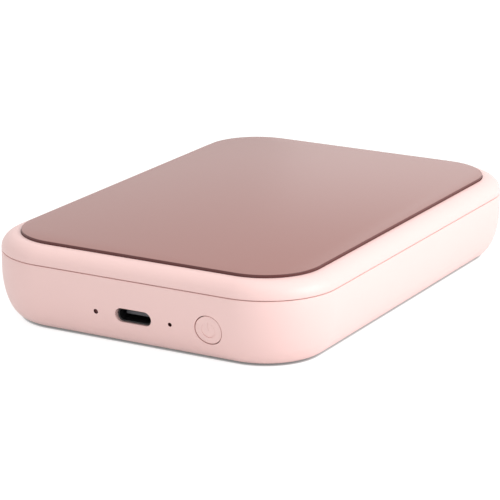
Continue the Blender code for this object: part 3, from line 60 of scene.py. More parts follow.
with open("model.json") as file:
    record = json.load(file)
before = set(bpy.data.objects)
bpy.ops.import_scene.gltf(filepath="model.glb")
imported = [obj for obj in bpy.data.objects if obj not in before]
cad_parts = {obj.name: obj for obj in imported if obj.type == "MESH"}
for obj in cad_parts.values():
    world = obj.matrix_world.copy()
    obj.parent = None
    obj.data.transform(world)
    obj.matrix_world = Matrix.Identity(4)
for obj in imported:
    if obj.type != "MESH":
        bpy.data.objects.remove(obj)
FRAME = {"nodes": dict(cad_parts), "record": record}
CAD_LOW, CAD_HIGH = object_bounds()
LOG = logging.getLogger("photo_printer")
MM = 0.001
MERGE = 0.001 * MM
FEET = ("foot_socket_left", "foot_socket_right", "foot_paper_left", "foot_paper_right")
SCREWS = (
    "tray_screw_socket_left", "tray_screw_socket_right", "tray_screw_paper_left",
    "tray_screw_paper_right", "frame_screw_left", "frame_screw_right",
)
HOOK_ROWS = (-26.0 * MM, 1.03 * MM)
RAMP_SLOPE = math.radians(28.0)


class Side(Enum):
    """The printer's two long sides, by the sign of X."""

    LEFT = -1
    RIGHT = 1

    def limits(self, inner: float, outer: float) -> tuple[float, float]:
        """Lower and upper X of a band that lies between two reaches on this side."""
        near, far = sorted((self.value * inner, self.value * outer))
        return near, far


class Axis(Enum):
    """World axes that a shape's own height can run along."""

    X = (1.0, 0.0, 0.0)
    Y = (0.0, 1.0, 0.0)
    Z = (0.0, 0.0, 1.0)

    def turn(self) -> Matrix:
        """The rotation from +Z to this axis."""
        from_z = Vector(Axis.Z.value).rotation_difference(Vector(self.value))
        return from_z.to_matrix().to_4x4()


def box_of(name: str) -> tuple[Vector, Vector]:
    """Lowest and highest corner of a frame node's box."""
    low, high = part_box(name)
    return Vector(low), Vector(high)


def middle_of(name: str) -> Vector:
    """Middle of a frame node's box."""
    low, high = box_of(name)
    return (low + high) / 2


def quarter_turn(steps: int) -> list[tuple[float, float]]:
    """Sine and cosine of evenly spaced angles from zero to a right angle."""
    angles = (math.pi / 2 * step / steps for step in range(steps + 1))
    return [(math.sin(angle), math.cos(angle)) for angle in angles]


# Shared effects


def new_group(name: str, inputs: dict[str, object], output: tuple[str, str]) -> Tree:
    """Makes an empty effect group.

    Args:
        name: The group's name.
        inputs: Each input's name and default value; a None stands for a vector.
        output: The output's name and socket type.

    Returns:
        The group's node tree with its input and output nodes.
    """
    tree = bpy.data.node_groups.new(name, "ShaderNodeTree")
    for label, value in inputs.items():
        if value is None:
            kind = "NodeSocketVector"
        elif isinstance(value, tuple):
            kind = "NodeSocketColor"
        else:
            kind = "NodeSocketFloat"
        socket = tree.interface.new_socket(name=label, in_out="INPUT", socket_type=kind)
        if value is not None:
            socket.default_value = value
    tree.interface.new_socket(name=output[0], in_out="OUTPUT", socket_type=output[1])
    tree.nodes.new("NodeGroupInput")
    tree.nodes.new("NodeGroupOutput")
    return tree


def add_node(tree: Tree, kind: str, **values: object) -> bpy.types.Node:
    """Adds a node and sets its properties.

    Args:
        tree: The tree that takes the node.
        kind: Blender's name of the node.
        values: Property values of the node.

    Returns:
        The new node.
    """
    made = tree.nodes.new(kind)
    for label, value in values.items():
        setattr(made, label, value)
    return made


def arithmetic(tree: Tree, operation: str, *terms: object) -> Socket:
    """Adds a Math node.

    Args:
        tree: The tree that takes the node.
        operation: The Math node's operation.
        terms: A socket or a number for each of its inputs.

    Returns:
        The node's output.
    """
    made = add_node(tree, "ShaderNodeMath", operation=operation)
    for place, term in enumerate(terms):
        if isinstance(term, Socket):
            tree.links.new(term, made.inputs[place])
        else:
            made.inputs[place].default_value = term
    return made.outputs[0]


def add_group(tree: Tree, group: Tree, place: Socket, **values: object) -> Socket:
    """Adds a shared effect at a surface point.

    Args:
        tree: The material's node tree.
        group: The effect.
        place: The surface point.
        values: The effect's other inputs.

    Returns:
        The effect's output.
    """
    made = add_node(tree, "ShaderNodeGroup", node_tree=group)
    for label, value in values.items():
        made.inputs[label].default_value = value
    tree.links.new(place, made.inputs["Vector"])
    return made.outputs[0]


@dataclass(frozen=True)
class Effects:
    """Effect groups that several finishes share."""

    mottle: Tree
    smudge: Tree
    grain: Tree
    tracks: Tree

    @classmethod
    def build(cls) -> "Effects":
        """Makes each group once."""
        return cls(cls.make_mottle(), cls.make_smudge(), cls.make_grain(), cls.make_tracks())

    @staticmethod
    def noise(tree: Tree, detail: float) -> Socket:
        """Adds noise at a group's point and scale.

        Args:
            tree: The group's tree.
            detail: The noise's octaves.

        Returns:
            The noise's value.
        """
        made = add_node(tree, "ShaderNodeTexNoise")
        made.inputs["Detail"].default_value = detail
        for label in ("Vector", "Scale"):
            tree.links.new(tree.nodes[0].outputs[label], made.inputs[label])
        return made.outputs["Fac"]

    @classmethod
    def make_mottle(cls) -> Tree:
        """Slow change of a colour's brightness over the surface."""
        inputs = {"Vector": None, "Scale": 60.0, "Colour": (1.0, 1.0, 1.0, 1.0), "Amount": 0.1}
        tree = new_group("mottle", inputs, ("Colour", "NodeSocketColor"))
        source, sink = tree.nodes[0], tree.nodes[1]
        centred = arithmetic(tree, "SUBTRACT", cls.noise(tree, 3.0), 0.5)
        swing = arithmetic(tree, "MULTIPLY_ADD", centred, source.outputs["Amount"], 1.0)
        shift = add_node(tree, "ShaderNodeHueSaturation")
        tree.links.new(source.outputs["Colour"], shift.inputs["Color"])
        tree.links.new(swing, shift.inputs["Value"])
        tree.links.new(shift.outputs["Color"], sink.inputs["Colour"])
        return tree

    @classmethod
    def make_smudge(cls) -> Tree:
        """Handling marks that change a roughness."""
        inputs = {"Vector": None, "Scale": 40.0, "Roughness": 0.4, "Spread": 0.1}
        tree = new_group("smudge", inputs, ("Roughness", "NodeSocketFloat"))
        source, sink = tree.nodes[0], tree.nodes[1]
        centred = arithmetic(tree, "SUBTRACT", cls.noise(tree, 4.0), 0.5)
        value = arithmetic(
            tree, "MULTIPLY_ADD", centred, source.outputs["Spread"], source.outputs["Roughness"]
        )
        tree.links.new(value, sink.inputs["Roughness"])
        return tree

    @classmethod
    def make_grain(cls) -> Tree:
        """Fine texture of a mould or a tool, as a height."""
        tree = new_group("grain", {"Vector": None, "Scale": 4000.0}, ("Height", "NodeSocketFloat"))
        height = cls.noise(tree, 2.0)
        height.node.inputs["Roughness"].default_value = 0.6
        tree.links.new(height, tree.nodes[1].inputs["Height"])
        return tree

    @staticmethod
    def make_tracks() -> Tree:
        """Right-angled copper tracks of a circuit board, as a mask."""
        inputs = {"Vector": None, "Scale": 420.0, "Width": 0.12}
        tree = new_group("tracks", inputs, ("Mask", "NodeSocketFloat"))
        source, sink = tree.nodes[0], tree.nodes[1]
        distances = []
        for feature in ("F2", "F1"):
            cells = add_node(
                tree, "ShaderNodeTexVoronoi", feature=feature, distance="CHEBYCHEV",
                voronoi_dimensions="2D",
            )
            cells.inputs["Randomness"].default_value = 0.45
            tree.links.new(source.outputs["Vector"], cells.inputs["Vector"])
            tree.links.new(source.outputs["Scale"], cells.inputs["Scale"])
            distances.append(cells.outputs["Distance"])
        edge = arithmetic(tree, "SUBTRACT", *distances)
        mask = arithmetic(tree, "LESS_THAN", edge, source.outputs["Width"])
        tree.links.new(mask, sink.inputs["Mask"])
        return tree


# Finishes


@dataclass(frozen=True)
class Finish:
    """A surface: its colour and gloss, and how they vary over it."""

    name: str
    colour: tuple[float, float, float]
    roughness: float
    metallic: float = 0.0
    coat: float = 0.0
    coat_roughness: float = 0.1
    mottle: float = 0.06
    mottle_scale: float = 70.0
    smudge: float = 0.08
    smudge_scale: float = 90.0
    grain_scale: float = 5000.0
    grain_depth: float = 0.004 * MM
    stretch: tuple[float, float, float] = (1.0, 1.0, 1.0)

    def colour_source(self, tree: Tree, place: Socket, effects: Effects) -> Socket:
        """Builds the base colour.

        Args:
            tree: The material's node tree.
            place: The surface point.
            effects: The shared groups.

        Returns:
            The colour's socket.
        """
        return add_group(tree, effects.mottle, place, Scale=self.mottle_scale,
                         Colour=(*self.colour, 1.0), Amount=self.mottle)

    def build(self, effects: Effects) -> bpy.types.Material:
        """Makes the material.

        Args:
            effects: The shared groups.

        Returns:
            The finished material.
        """
        material = bpy.data.materials.new(self.name)
        material.use_nodes = True
        tree = material.node_tree
        shader = tree.nodes["Principled BSDF"]
        shader.inputs["Metallic"].default_value = self.metallic
        shader.inputs["Coat Weight"].default_value = self.coat
        shader.inputs["Coat Roughness"].default_value = self.coat_roughness
        source = add_node(tree, "ShaderNodeTexCoord").outputs["Object"]
        tree.links.new(self.colour_source(tree, source, effects), shader.inputs["Base Color"])
        mapping = add_node(tree, "ShaderNodeMapping")
        mapping.inputs["Scale"].default_value = self.stretch
        tree.links.new(source, mapping.inputs["Vector"])
        place = mapping.outputs["Vector"]
        smudge = add_group(tree, effects.smudge, place, Scale=self.smudge_scale,
                           Roughness=self.roughness, Spread=self.smudge)
        tree.links.new(smudge, shader.inputs["Roughness"])
        if self.grain_depth == 0.0:
            return material
        grain = add_group(tree, effects.grain, place, Scale=self.grain_scale)
        bump = add_node(tree, "ShaderNodeBump")
        bump.inputs["Distance"].default_value = self.grain_depth
        tree.links.new(grain, bump.inputs["Height"])
        tree.links.new(bump.outputs["Normal"], shader.inputs["Normal"])
        return material


@dataclass(frozen=True)
class CircuitBoard(Finish):
    """Solder mask over copper tracks."""

    track_colour: tuple[float, float, float] = (0.05, 0.30, 0.16)
    track_scale: float = 420.0

    def colour_source(self, tree: Tree, place: Socket, effects: Effects) -> Socket:
        """Builds the base colour with its tracks.

        Args:
            tree: The material's node tree.
            place: The surface point.
            effects: The shared groups.

        Returns:
            The colour's socket.
        """
        mask = add_group(tree, effects.tracks, place, Scale=self.track_scale)
        blend = add_node(tree, "ShaderNodeMix", data_type="RGBA")
        first, second = (socket for socket in blend.inputs if socket.type == "RGBA")
        tree.links.new(super().colour_source(tree, place, effects), first)
        second.default_value = (*self.track_colour, 1.0)
        tree.links.new(mask, blend.inputs["Factor"])
        return next(socket for socket in blend.outputs if socket.type == "RGBA")


class Palette:
    """Every finish on the printer, each made once."""

    def __init__(self) -> None:
        """Makes the shared effects and the materials."""
        effects = Effects.build()
        finishes = (
            Finish("blush_shell", (0.86, 0.60, 0.57), 0.42, mottle=0.02, smudge=0.05),
            # painted shade: dark colour on the pinholes' walls, standing in for the shade inside
            # the holes
            Finish("painted_pinhole_shade", (0.10, 0.02, 0.018), 0.5, mottle=0.03),
            Finish("rose_plate", (0.325, 0.14, 0.119), 0.27, mottle=0.012, mottle_scale=25.0,
                   smudge=0.0, grain_depth=0.0),
            Finish("rose_plate_edge", (0.10, 0.02, 0.018), 0.3, mottle=0.03, grain_depth=0.0),
            Finish("grey_moulding", (0.085, 0.085, 0.09), 0.5, grain_depth=0.008 * MM),
            Finish("black_plastic", (0.018, 0.018, 0.02), 0.45),
            Finish("black_moulding", (0.03, 0.03, 0.033), 0.5, grain_depth=0.008 * MM),
            Finish("white_plastic", (0.74, 0.73, 0.69), 0.42),
            Finish("white_nylon", (0.78, 0.77, 0.71), 0.36, mottle=0.04),
            Finish("steel", (0.60, 0.60, 0.62), 0.28, metallic=1.0, stretch=(1.0, 12.0, 12.0),
                   smudge=0.16, smudge_scale=900.0, grain_scale=2500.0),
            Finish("socket_black", (0.012, 0.012, 0.013), 0.38),
            Finish("spring_steel", (0.42, 0.42, 0.45), 0.24, metallic=1.0),
            Finish("motor_can", (0.52, 0.52, 0.54), 0.32, metallic=1.0, stretch=(12.0, 1.0, 1.0),
                   smudge=0.14, smudge_scale=700.0),
            Finish("aluminium", (0.78, 0.79, 0.80), 0.38, metallic=1.0, stretch=(1.0, 14.0, 14.0),
                   smudge=0.14, smudge_scale=900.0),
            Finish("brass", (0.76, 0.56, 0.26), 0.3, metallic=1.0, mottle=0.1),
            Finish("tongue_resin", (0.10, 0.10, 0.11), 0.35),
            Finish("gold_pads", (0.90, 0.66, 0.28), 0.25, metallic=1.0),
            Finish("solder", (0.66, 0.67, 0.68), 0.3, metallic=1.0),
            Finish("rubber", (0.028, 0.028, 0.03), 0.75, grain_depth=0.01 * MM,
                   grain_scale=3500.0),
            Finish("roller_rubber", (0.045, 0.045, 0.05), 0.62, grain_depth=0.01 * MM,
                   grain_scale=2500.0),
            Finish("cable_rubber", (0.30, 0.02, 0.02), 0.5),
            CircuitBoard("circuit_board", (0.012, 0.12, 0.06), 0.34, coat=0.3, mottle=0.1),
            Finish("light_pipe", (0.10, 0.015, 0.015), 0.3),
            Finish("battery_foil", (0.66, 0.66, 0.69), 0.3, metallic=0.85, mottle=0.08,
                   grain_scale=600.0, grain_depth=0.03 * MM),
            Finish("head_ceramic", (0.66, 0.67, 0.62), 0.3, mottle=0.04),
            Finish("cork_pad", (0.36, 0.23, 0.13), 0.9, mottle=0.6, mottle_scale=2200.0,
                   grain_scale=1800.0, grain_depth=0.06 * MM),
        )
        self.made = {finish.name: finish.build(effects) for finish in finishes}

    def __getitem__(self, name: str) -> bpy.types.Material:
        """The material of that name."""
        return self.made[name]


# Shapes


@dataclass(frozen=True)
class Plan:
    """Rounded rectangle about the origin."""

    half_width: float
    half_length: float
    radius: float

    def inset(self, distance: float) -> "Plan":
        """The same plan drawn in on all sides."""
        return Plan(
            self.half_width - distance, self.half_length - distance, self.radius - distance
        )

    def centre(self) -> Vector:
        """Centre of the corner in the first quadrant."""
        return Vector((self.half_width - self.radius, self.half_length - self.radius))

    def moved(self, point: Vector, target: "Plan") -> Vector:
        """The point of another plan that answers to one of this plan's.

        Args:
            point: A point on this plan's corner arcs.
            target: The plan to move to.

        Returns:
            The place in the target, at the same height.
        """
        sign_x = math.copysign(1.0, point.x)
        sign_y = math.copysign(1.0, point.y)
        offset = Vector((abs(point.x), abs(point.y))) - self.centre()
        place = target.centre() + offset * (target.radius / self.radius)
        return Vector((sign_x * place.x, sign_y * place.y, point.z))


CASE_PLAN = Plan(42.15 * MM, 59.5 * MM, 17.35 * MM)


def plan_face(mesh: Mesh, plan: Plan, height: float, steps: int) -> bmesh.types.BMFace:
    """Lays a rounded rectangle as the one face of an empty mesh.

    Args:
        mesh: The mesh that takes it.
        plan: The outline.
        height: Its height.
        steps: Segments of each corner.

    Returns:
        The face.
    """
    made = bmesh.ops.create_grid(mesh, x_segments=1, y_segments=1, size=1.0)
    for vert in made["verts"]:
        vert.co = (vert.co.x * plan.half_width, vert.co.y * plan.half_length, height)
    bmesh.ops.bevel(
        mesh, geom=made["verts"], offset=plan.radius, offset_type="OFFSET", affect="VERTICES",
        segments=steps, profile=0.5, material=-1, clamp_overlap=False,
    )
    return max(mesh.faces, key=lambda item: len(item.verts))


def extrude_rim(
    mesh: Mesh, edges: list[bmesh.types.BMEdge]
) -> tuple[list[bmesh.types.BMVert], list[bmesh.types.BMEdge]]:
    """Draws an open rim out by one ring.

    Args:
        mesh: The mesh that has the rim.
        edges: The rim's edges.

    Returns:
        The new ring's points, and its edges.
    """
    made = bmesh.ops.extrude_edge_only(mesh, edges=edges)["geom"]
    verts = [item for item in made if isinstance(item, bmesh.types.BMVert)]
    rim = [
        item for item in made
        if isinstance(item, bmesh.types.BMEdge) and len(item.link_faces) == 1
    ]
    return verts, rim


def swept(stations: list[tuple[Plan, float]], steps: int) -> Mesh:
    """Closed shell whose rings follow a list of plans and heights.

    Args:
        stations: Each ring's plan and height, from one capped end to the other.
        steps: Segments of each corner.

    Returns:
        The shell as a mesh with its ends capped.
    """
    mesh = bmesh.new()
    plan, height = stations[0]
    edges = list(plan_face(mesh, plan, height, steps).edges)
    for target, level in stations[1:]:
        verts, edges = extrude_rim(mesh, edges)
        for vert in verts:
            vert.co = plan.moved(vert.co, target)
            vert.co.z = level
        plan = target
    bmesh.ops.edgeloop_fill(mesh, edges=edges)
    bmesh.ops.remove_doubles(mesh, verts=mesh.verts[:], dist=MERGE)
    bmesh.ops.recalc_face_normals(mesh, faces=mesh.faces[:])
    return mesh


def absorb(mesh: Mesh, other: Mesh) -> None:
    """Moves one mesh's shapes into another.

    Args:
        mesh: The mesh that takes them.
        other: The mesh that is used up.
    """
    data = bpy.data.meshes.new("shape")
    other.to_mesh(data)
    other.free()
    mesh.from_mesh(data)
    bpy.data.meshes.remove(data)


def laid_along_y(mesh: Mesh, x: float, z: float) -> Mesh:
    """Lays an upright shape down, so that its height runs along Y.

    Args:
        mesh: The shape, about the origin.
        x: Where its axis goes across the width.
        z: Where its axis goes in height.

    Returns:
        The same mesh.
    """
    turn = Matrix(((1, 0, 0, x), (0, 0, 1, 0), (0, 1, 0, z), (0, 0, 0, 1)))
    mesh.transform(turn)
    bmesh.ops.recalc_face_normals(mesh, faces=mesh.faces[:])
    return mesh


def add_box(mesh: Mesh, low: tuple[float, float, float],
            high: tuple[float, float, float], edge: float = 0.0, material: int = 0) -> None:
    """Adds a box with softened edges.

    Args:
        mesh: The mesh that takes it.
        low: Its lowest corner.
        high: Its highest corner.
        edge: Width of its bevels.
        material: Its material's place in the piece.
    """
    size = Vector(high) - Vector(low)
    place = Matrix.Translation((Vector(high) + Vector(low)) / 2) @ Matrix.Diagonal((*size, 1.0))
    verts = bmesh.ops.create_cube(mesh, size=1.0, matrix=place)["verts"]
    for face in {face for vert in verts for face in vert.link_faces}:
        face.material_index = material
    if edge > 0.0:
        edges = {item for vert in verts for item in vert.link_edges}
        bmesh.ops.bevel(
            mesh, geom=list(edges), offset=edge, affect="EDGES", segments=2, profile=0.5,
            material=-1,
        )


def add_prism(mesh: Mesh, outline: list[tuple[float, float]], low: float,
              high: float) -> None:
    """Adds an outline in the YZ plane, drawn out along X.

    Args:
        mesh: The mesh that takes it.
        outline: Its corners in order, as Y and Z.
        low: Where it starts in X.
        high: Where it ends in X.
    """
    tool = bmesh.new()
    face = tool.faces.new([tool.verts.new((low, y, z)) for y, z in outline])
    made = bmesh.ops.extrude_face_region(tool, geom=[face])["geom"]
    far = [item for item in made if isinstance(item, bmesh.types.BMVert)]
    bmesh.ops.translate(tool, verts=far, vec=(high - low, 0.0, 0.0))
    bmesh.ops.recalc_face_normals(tool, faces=tool.faces[:])
    absorb(mesh, tool)


def add_turned(mesh: Mesh, profile: list[tuple[float, float]], place: Vector,
               axis: Axis, steps: int = 48) -> None:
    """Adds a turned shape.

    Args:
        mesh: The mesh that takes it.
        profile: Radius and height of its corners. One that starts off the axis closes on itself.
        place: Where its own zero height goes.
        axis: The way its height runs.
        steps: Its segments.
    """
    tool = bmesh.new()
    verts = [tool.verts.new((radius, 0.0, height)) for radius, height in profile]
    ends = verts[1:] + (verts[:1] if profile[0][0] > 0.0 else [])
    edges = [tool.edges.new(pair) for pair in zip(verts, ends)]
    bmesh.ops.spin(
        tool, geom=verts + edges, cent=(0, 0, 0), axis=(0, 0, 1), angle=2 * math.pi, steps=steps,
        use_merge=True,
    )
    bmesh.ops.remove_doubles(tool, verts=tool.verts[:], dist=MERGE)
    bmesh.ops.recalc_face_normals(tool, faces=tool.faces[:])
    tool.transform(Matrix.Translation(place) @ axis.turn())
    absorb(mesh, tool)


def add_rod(mesh: Mesh, place: Vector, axis: Axis, radius: float, length: float,
            steps: int = 32) -> None:
    """Adds a plain cylinder.

    Args:
        mesh: The mesh that takes it.
        place: Its middle.
        axis: The way it lies.
        radius: Its radius.
        length: Its length.
        steps: Its segments.
    """
    bmesh.ops.create_cone(
        mesh, cap_ends=True, segments=steps, radius1=radius, radius2=radius, depth=length,
        matrix=Matrix.Translation(place) @ axis.turn(),
    )


def piece(name: str, mesh: Mesh, materials: list[bpy.types.Material], body: str,
          replaces: tuple[str, ...] = (), crease: float = 35.0) -> bpy.types.Object:
    """Makes a finished piece of the object.

    Args:
        name: The piece's name.
        mesh: Its shape, which is used up.
        materials: Its materials in order.
        body: The body it rides on.
        replaces: The frame nodes it stands for.
        crease: Angle in degrees past which an edge is sharp.

    Returns:
        The new object.
    """
    data = bpy.data.meshes.new(name)
    mesh.to_mesh(data)
    mesh.free()
    for material in materials:
        data.materials.append(material)
    data.shade_smooth()
    data.set_sharp_from_angle(angle=math.radians(crease))
    made = bpy.data.objects.new(name, data)
    bpy.context.scene.collection.objects.link(made)
    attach(made, body)
    if replaces:
        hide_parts(*replaces)
    LOG.info("%s: %d faces on %s", name, len(data.polygons), body)
    return made


def carve(mesh: Mesh, cutter: Mesh) -> Mesh:
    """Takes one shape out of another.

    Args:
        mesh: The shape that is cut, which is used up.
        cutter: The shape that is taken out, which is used up.

    Returns:
        What is left.
    """
    blanks = []
    for source in (mesh, cutter):
        data = bpy.data.meshes.new("blank")
        source.to_mesh(data)
        source.free()
        blank = bpy.data.objects.new("blank", data)
        bpy.context.scene.collection.objects.link(blank)
        blanks.append(blank)
    modifier = blanks[0].modifiers.new("Carve", "BOOLEAN")
    modifier.solver = "EXACT"
    modifier.object = blanks[1]
    bpy.context.view_layer.update()
    graph = bpy.context.evaluated_depsgraph_get()
    left = bmesh.new()
    left.from_mesh(blanks[0].evaluated_get(graph).to_mesh())
    for blank in blanks:
        bpy.data.meshes.remove(blank.data)
    return left


# Housing


@dataclass
class LowerCase:
    """Moulded tub: rounded underside, openings, and the rails, bosses and ribs inside."""

    palette: Palette
    plan: Plan = CASE_PLAN
    lift: float = 0.4 * MM
    belly_top: float = 12.0 * MM
    belly_inset: float = 5.3 * MM
    wall: float = 1.6 * MM
    floor: float = 1.5 * MM
    rim: float = 15.98 * MM
    rim_round: float = 0.12 * MM
    corner_steps: int = 28
    belly_steps: int = 26
    port_steps: int = 10
    hole_steps: int = 96
    recess_steps: int = 64
    skin_cosine: float = 0.97
    port_middle: tuple[float, float] = (0.75 * MM, 7.86 * MM)
    port_size: tuple[float, float] = (9.3 * MM, 3.4 * MM)
    pinholes: tuple[tuple[float, float], ...] = ((-8.96 * MM, 0.58 * MM), (10.2 * MM, 0.48 * MM))
    pinhole_z: float = 7.68 * MM
    button_middle: tuple[float, float] = (19.86 * MM, 7.93 * MM)
    button_opening: float = 3.45 * MM
    slot_half: float = 27.2 * MM
    slot_low: float = 10.9 * MM
    slot_height: float = 2.2 * MM
    foot_recess: float = 4.3 * MM
    foot_recess_top: float = 1.2 * MM
    seat: float = 0.3 * MM
    soft: float = 0.12 * MM
    flat_margin: float = 0.6 * MM
    rail_inner: float = 39.5 * MM
    rail_ends: tuple[float, float] = (-40.15 * MM, 42.15 * MM)
    rail_root: float = 3.5 * MM
    lip_outer: float = 40.3 * MM
    lip_height: float = 0.7 * MM
    ledge_inner: float = 38.2 * MM
    ledge_length: float = 3.0 * MM
    ledge_drop: float = 2.5 * MM
    boss_radius: float = 2.5 * MM
    bore_radius: float = 0.8 * MM
    post_radius: float = 1.8 * MM
    post_place: tuple[float, float] = (27.5 * MM, -48.1 * MM)
    rib_height: float = 2.5 * MM
    rib_width: float = 1.0 * MM
    saddle_width: float = 2.0 * MM
    saddle_share: float = 0.8

    def belly_depth(self, height: float) -> float:
        """How far down the rounded underside a height lies, from 0 at its top to 1."""
        return min(1.0, max(0.0, (self.belly_top - height) / (self.belly_top - self.lift)))

    def belly_draw(self, height: float) -> float:
        """How far the rounded underside draws in at a height."""
        depth = self.belly_depth(height)
        return self.belly_inset * (1.0 - math.sqrt(1.0 - depth * depth))

    def end_face(self, height: float) -> float:
        """Y of the socket end's outer face at a height."""
        return self.belly_draw(height) - self.plan.half_length

    def outer_normal(self, point: Vector) -> Vector:
        """Normal of the case's outer form at a point on or near it."""
        centre = self.plan.centre()
        reach = Vector((max(0.0, abs(point.x) - centre.x), max(0.0, abs(point.y) - centre.y)))
        if reach.x == 0.0 or reach.y == 0.0:
            along = Vector((0.0, 1.0)) if reach.x == 0.0 else Vector((1.0, 0.0))
        else:
            along = reach.normalized()
        depth = self.belly_depth(point.z)
        level = math.sqrt(1.0 - depth * depth) * (self.belly_top - self.lift)
        flat = Vector((math.copysign(along.x, point.x), math.copysign(along.y, point.y)))
        return Vector((flat.x * level, flat.y * level, -self.belly_inset * depth)).normalized()

    def outside(self, point: Vector) -> bool:
        """Whether a point lies on the outer skin rather than on the inner one."""
        skin = self.plan.inset(self.belly_draw(point.z) + self.wall / 2)
        over = Vector((abs(point.x), abs(point.y))) - skin.centre()
        if over.x > 0.0 and over.y > 0.0:
            return over.length > skin.radius
        return abs(point.x) > skin.half_width or abs(point.y) > skin.half_length

    def set_normals(self, made: bpy.types.Object) -> None:
        """Gives the outer skin the form's own normals, so that cuts leave no creases.

        Args:
            made: The lower case.
        """
        data = made.data
        normals = [Vector(item.vector) for item in data.corner_normals]
        upright_top = self.rim - self.rim_round - MERGE
        for face in data.polygons:
            for loop in face.loop_indices:
                point = data.vertices[data.loops[loop].vertex_index].co
                ideal = self.outer_normal(point)
                level = self.lift + MERGE < point.z < upright_top
                if level and face.normal.dot(ideal) > self.skin_cosine and self.outside(point):
                    normals[loop] = ideal
        data.normals_split_custom_set(normals)

    def skin(self) -> Mesh:
        """The tub's outer and inner form without its openings."""
        outer = [(self.plan.inset(self.belly_inset + self.flat_margin), self.lift)]
        for sine, cosine in quarter_turn(self.belly_steps):
            height = self.belly_top - (self.belly_top - self.lift) * cosine
            outer.append((self.plan.inset(self.belly_inset * (1 - sine)), height))
        outer.append((self.plan, self.rim - self.rim_round))
        outer.append((self.plan.inset(self.rim_round / 3), self.rim - self.rim_round / 3))
        outer.append((self.plan.inset(self.rim_round), self.rim))
        inner = [(self.plan.inset(self.wall), self.rim)]
        floor_top = self.lift + self.floor
        for sine, cosine in reversed(quarter_turn(self.belly_steps // 2)):
            height = self.belly_top - (self.belly_top - floor_top) * cosine
            draw = self.wall + self.belly_inset * (1 - sine)
            inner.append((self.plan.inset(draw), height))
        inner.append((self.plan.inset(draw + self.flat_margin), floor_top))
        return swept(outer + inner, self.corner_steps)

    def openings(self) -> Mesh:
        """Socket, pinholes, button hole, paper slot and foot recesses, as cutters."""
        tools = bmesh.new()
        front, back = -self.plan.half_length - self.wall, -self.plan.half_length + 3 * self.wall
        width, height = self.port_size
        opening = Plan(width / 2, height / 2, height / 2 - MERGE)
        port = swept([(opening, front), (opening, back)], self.port_steps)
        absorb(tools, laid_along_y(port, *self.port_middle))
        rounds = [(x, self.pinhole_z, radius) for x, radius in self.pinholes]
        rounds.append((*self.button_middle, self.button_opening))
        for x, z, radius in rounds:
            place = Vector((x, (front + back) / 2, z))
            add_rod(tools, place, Axis.Y, radius, back - front, self.hole_steps)
        low = (-self.slot_half, self.plan.half_length - 2 * self.wall, self.slot_low)
        high = (self.slot_half, self.plan.half_length + self.wall, self.slot_low + self.slot_height)
        add_box(tools, low, high)
        for foot in FEET:
            place = middle_of(foot)
            place.z = 0.0
            add_rod(tools, place, Axis.Z, self.foot_recess, 2 * self.foot_recess_top,
                    self.recess_steps)
        return tools

    def paint_pinhole_shade(self, mesh: Mesh) -> None:
        """Paints shade onto the pinholes' walls: a dark colour that stands in for the shade inside
        the holes.

        Args:
            mesh: The case's mesh.
        """
        for x, radius in self.pinholes:
            for face in mesh.faces:
                reach = max(
                    math.hypot(vert.co.x - x, vert.co.z - self.pinhole_z) for vert in face.verts
                )
                # faces inside each pinhole get the painted shade
                if reach < radius + 2 * MERGE and face.verts[0].co.y < 0.0:
                    face.material_index = 1

    def add_rails(self, mesh: Mesh) -> None:
        """Adds the rails and lips that line up the cover, and the ledges for its hooks.

        Args:
            mesh: The case's mesh.
        """
        start, end = self.rail_ends
        rise = self.ledge_length * math.tan(RAMP_SLOPE)
        low = self.rim - self.ledge_drop
        for side in Side:
            near, far = side.limits(self.rail_inner, self.plan.half_width - self.wall / 2)
            add_box(mesh, (near, start, self.rim - self.rail_root),
                    (far, end, self.rim - self.seat), self.soft)
            near, far = side.limits(self.rail_inner, self.lip_outer)
            add_box(mesh, (near, start, self.rim - 2 * self.seat),
                    (far, end, self.rim + self.lip_height), self.soft)
            near, far = side.limits(self.ledge_inner, self.rail_inner + 2 * self.seat)
            for row in HOOK_ROWS:
                outline = [
                    (row, low), (row + self.ledge_length, low + rise),
                    (row + self.ledge_length, self.rim - self.seat), (row, self.rim - self.seat),
                ]
                add_prism(mesh, outline, near, far)

    def add_bosses(self, mesh: Mesh) -> None:
        """Adds the bored bosses under the screws and the posts under the board.

        Args:
            mesh: The case's mesh.
        """
        root = self.lift + self.floor / 2
        for name in SCREWS:
            low, high = box_of(name)
            place = (low + high) / 2
            place.z = 0.0
            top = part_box("paper_tray")[0][2] - self.seat
            if name.startswith("frame"):
                top = middle_of("motor").z - self.seat
            bore = low.z - self.seat
            profile = [
                (0.0, bore), (self.bore_radius, bore), (self.bore_radius, top),
                (self.boss_radius, top), (self.boss_radius, root), (0.0, root),
            ]
            add_turned(mesh, profile, place, Axis.Z)
        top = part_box("main_board")[0][2] - self.seat
        for side in Side:
            place = Vector((side.value * self.post_place[0], self.post_place[1], (root + top) / 2))
            add_rod(mesh, place, Axis.Z, self.post_radius, top - root, 48)

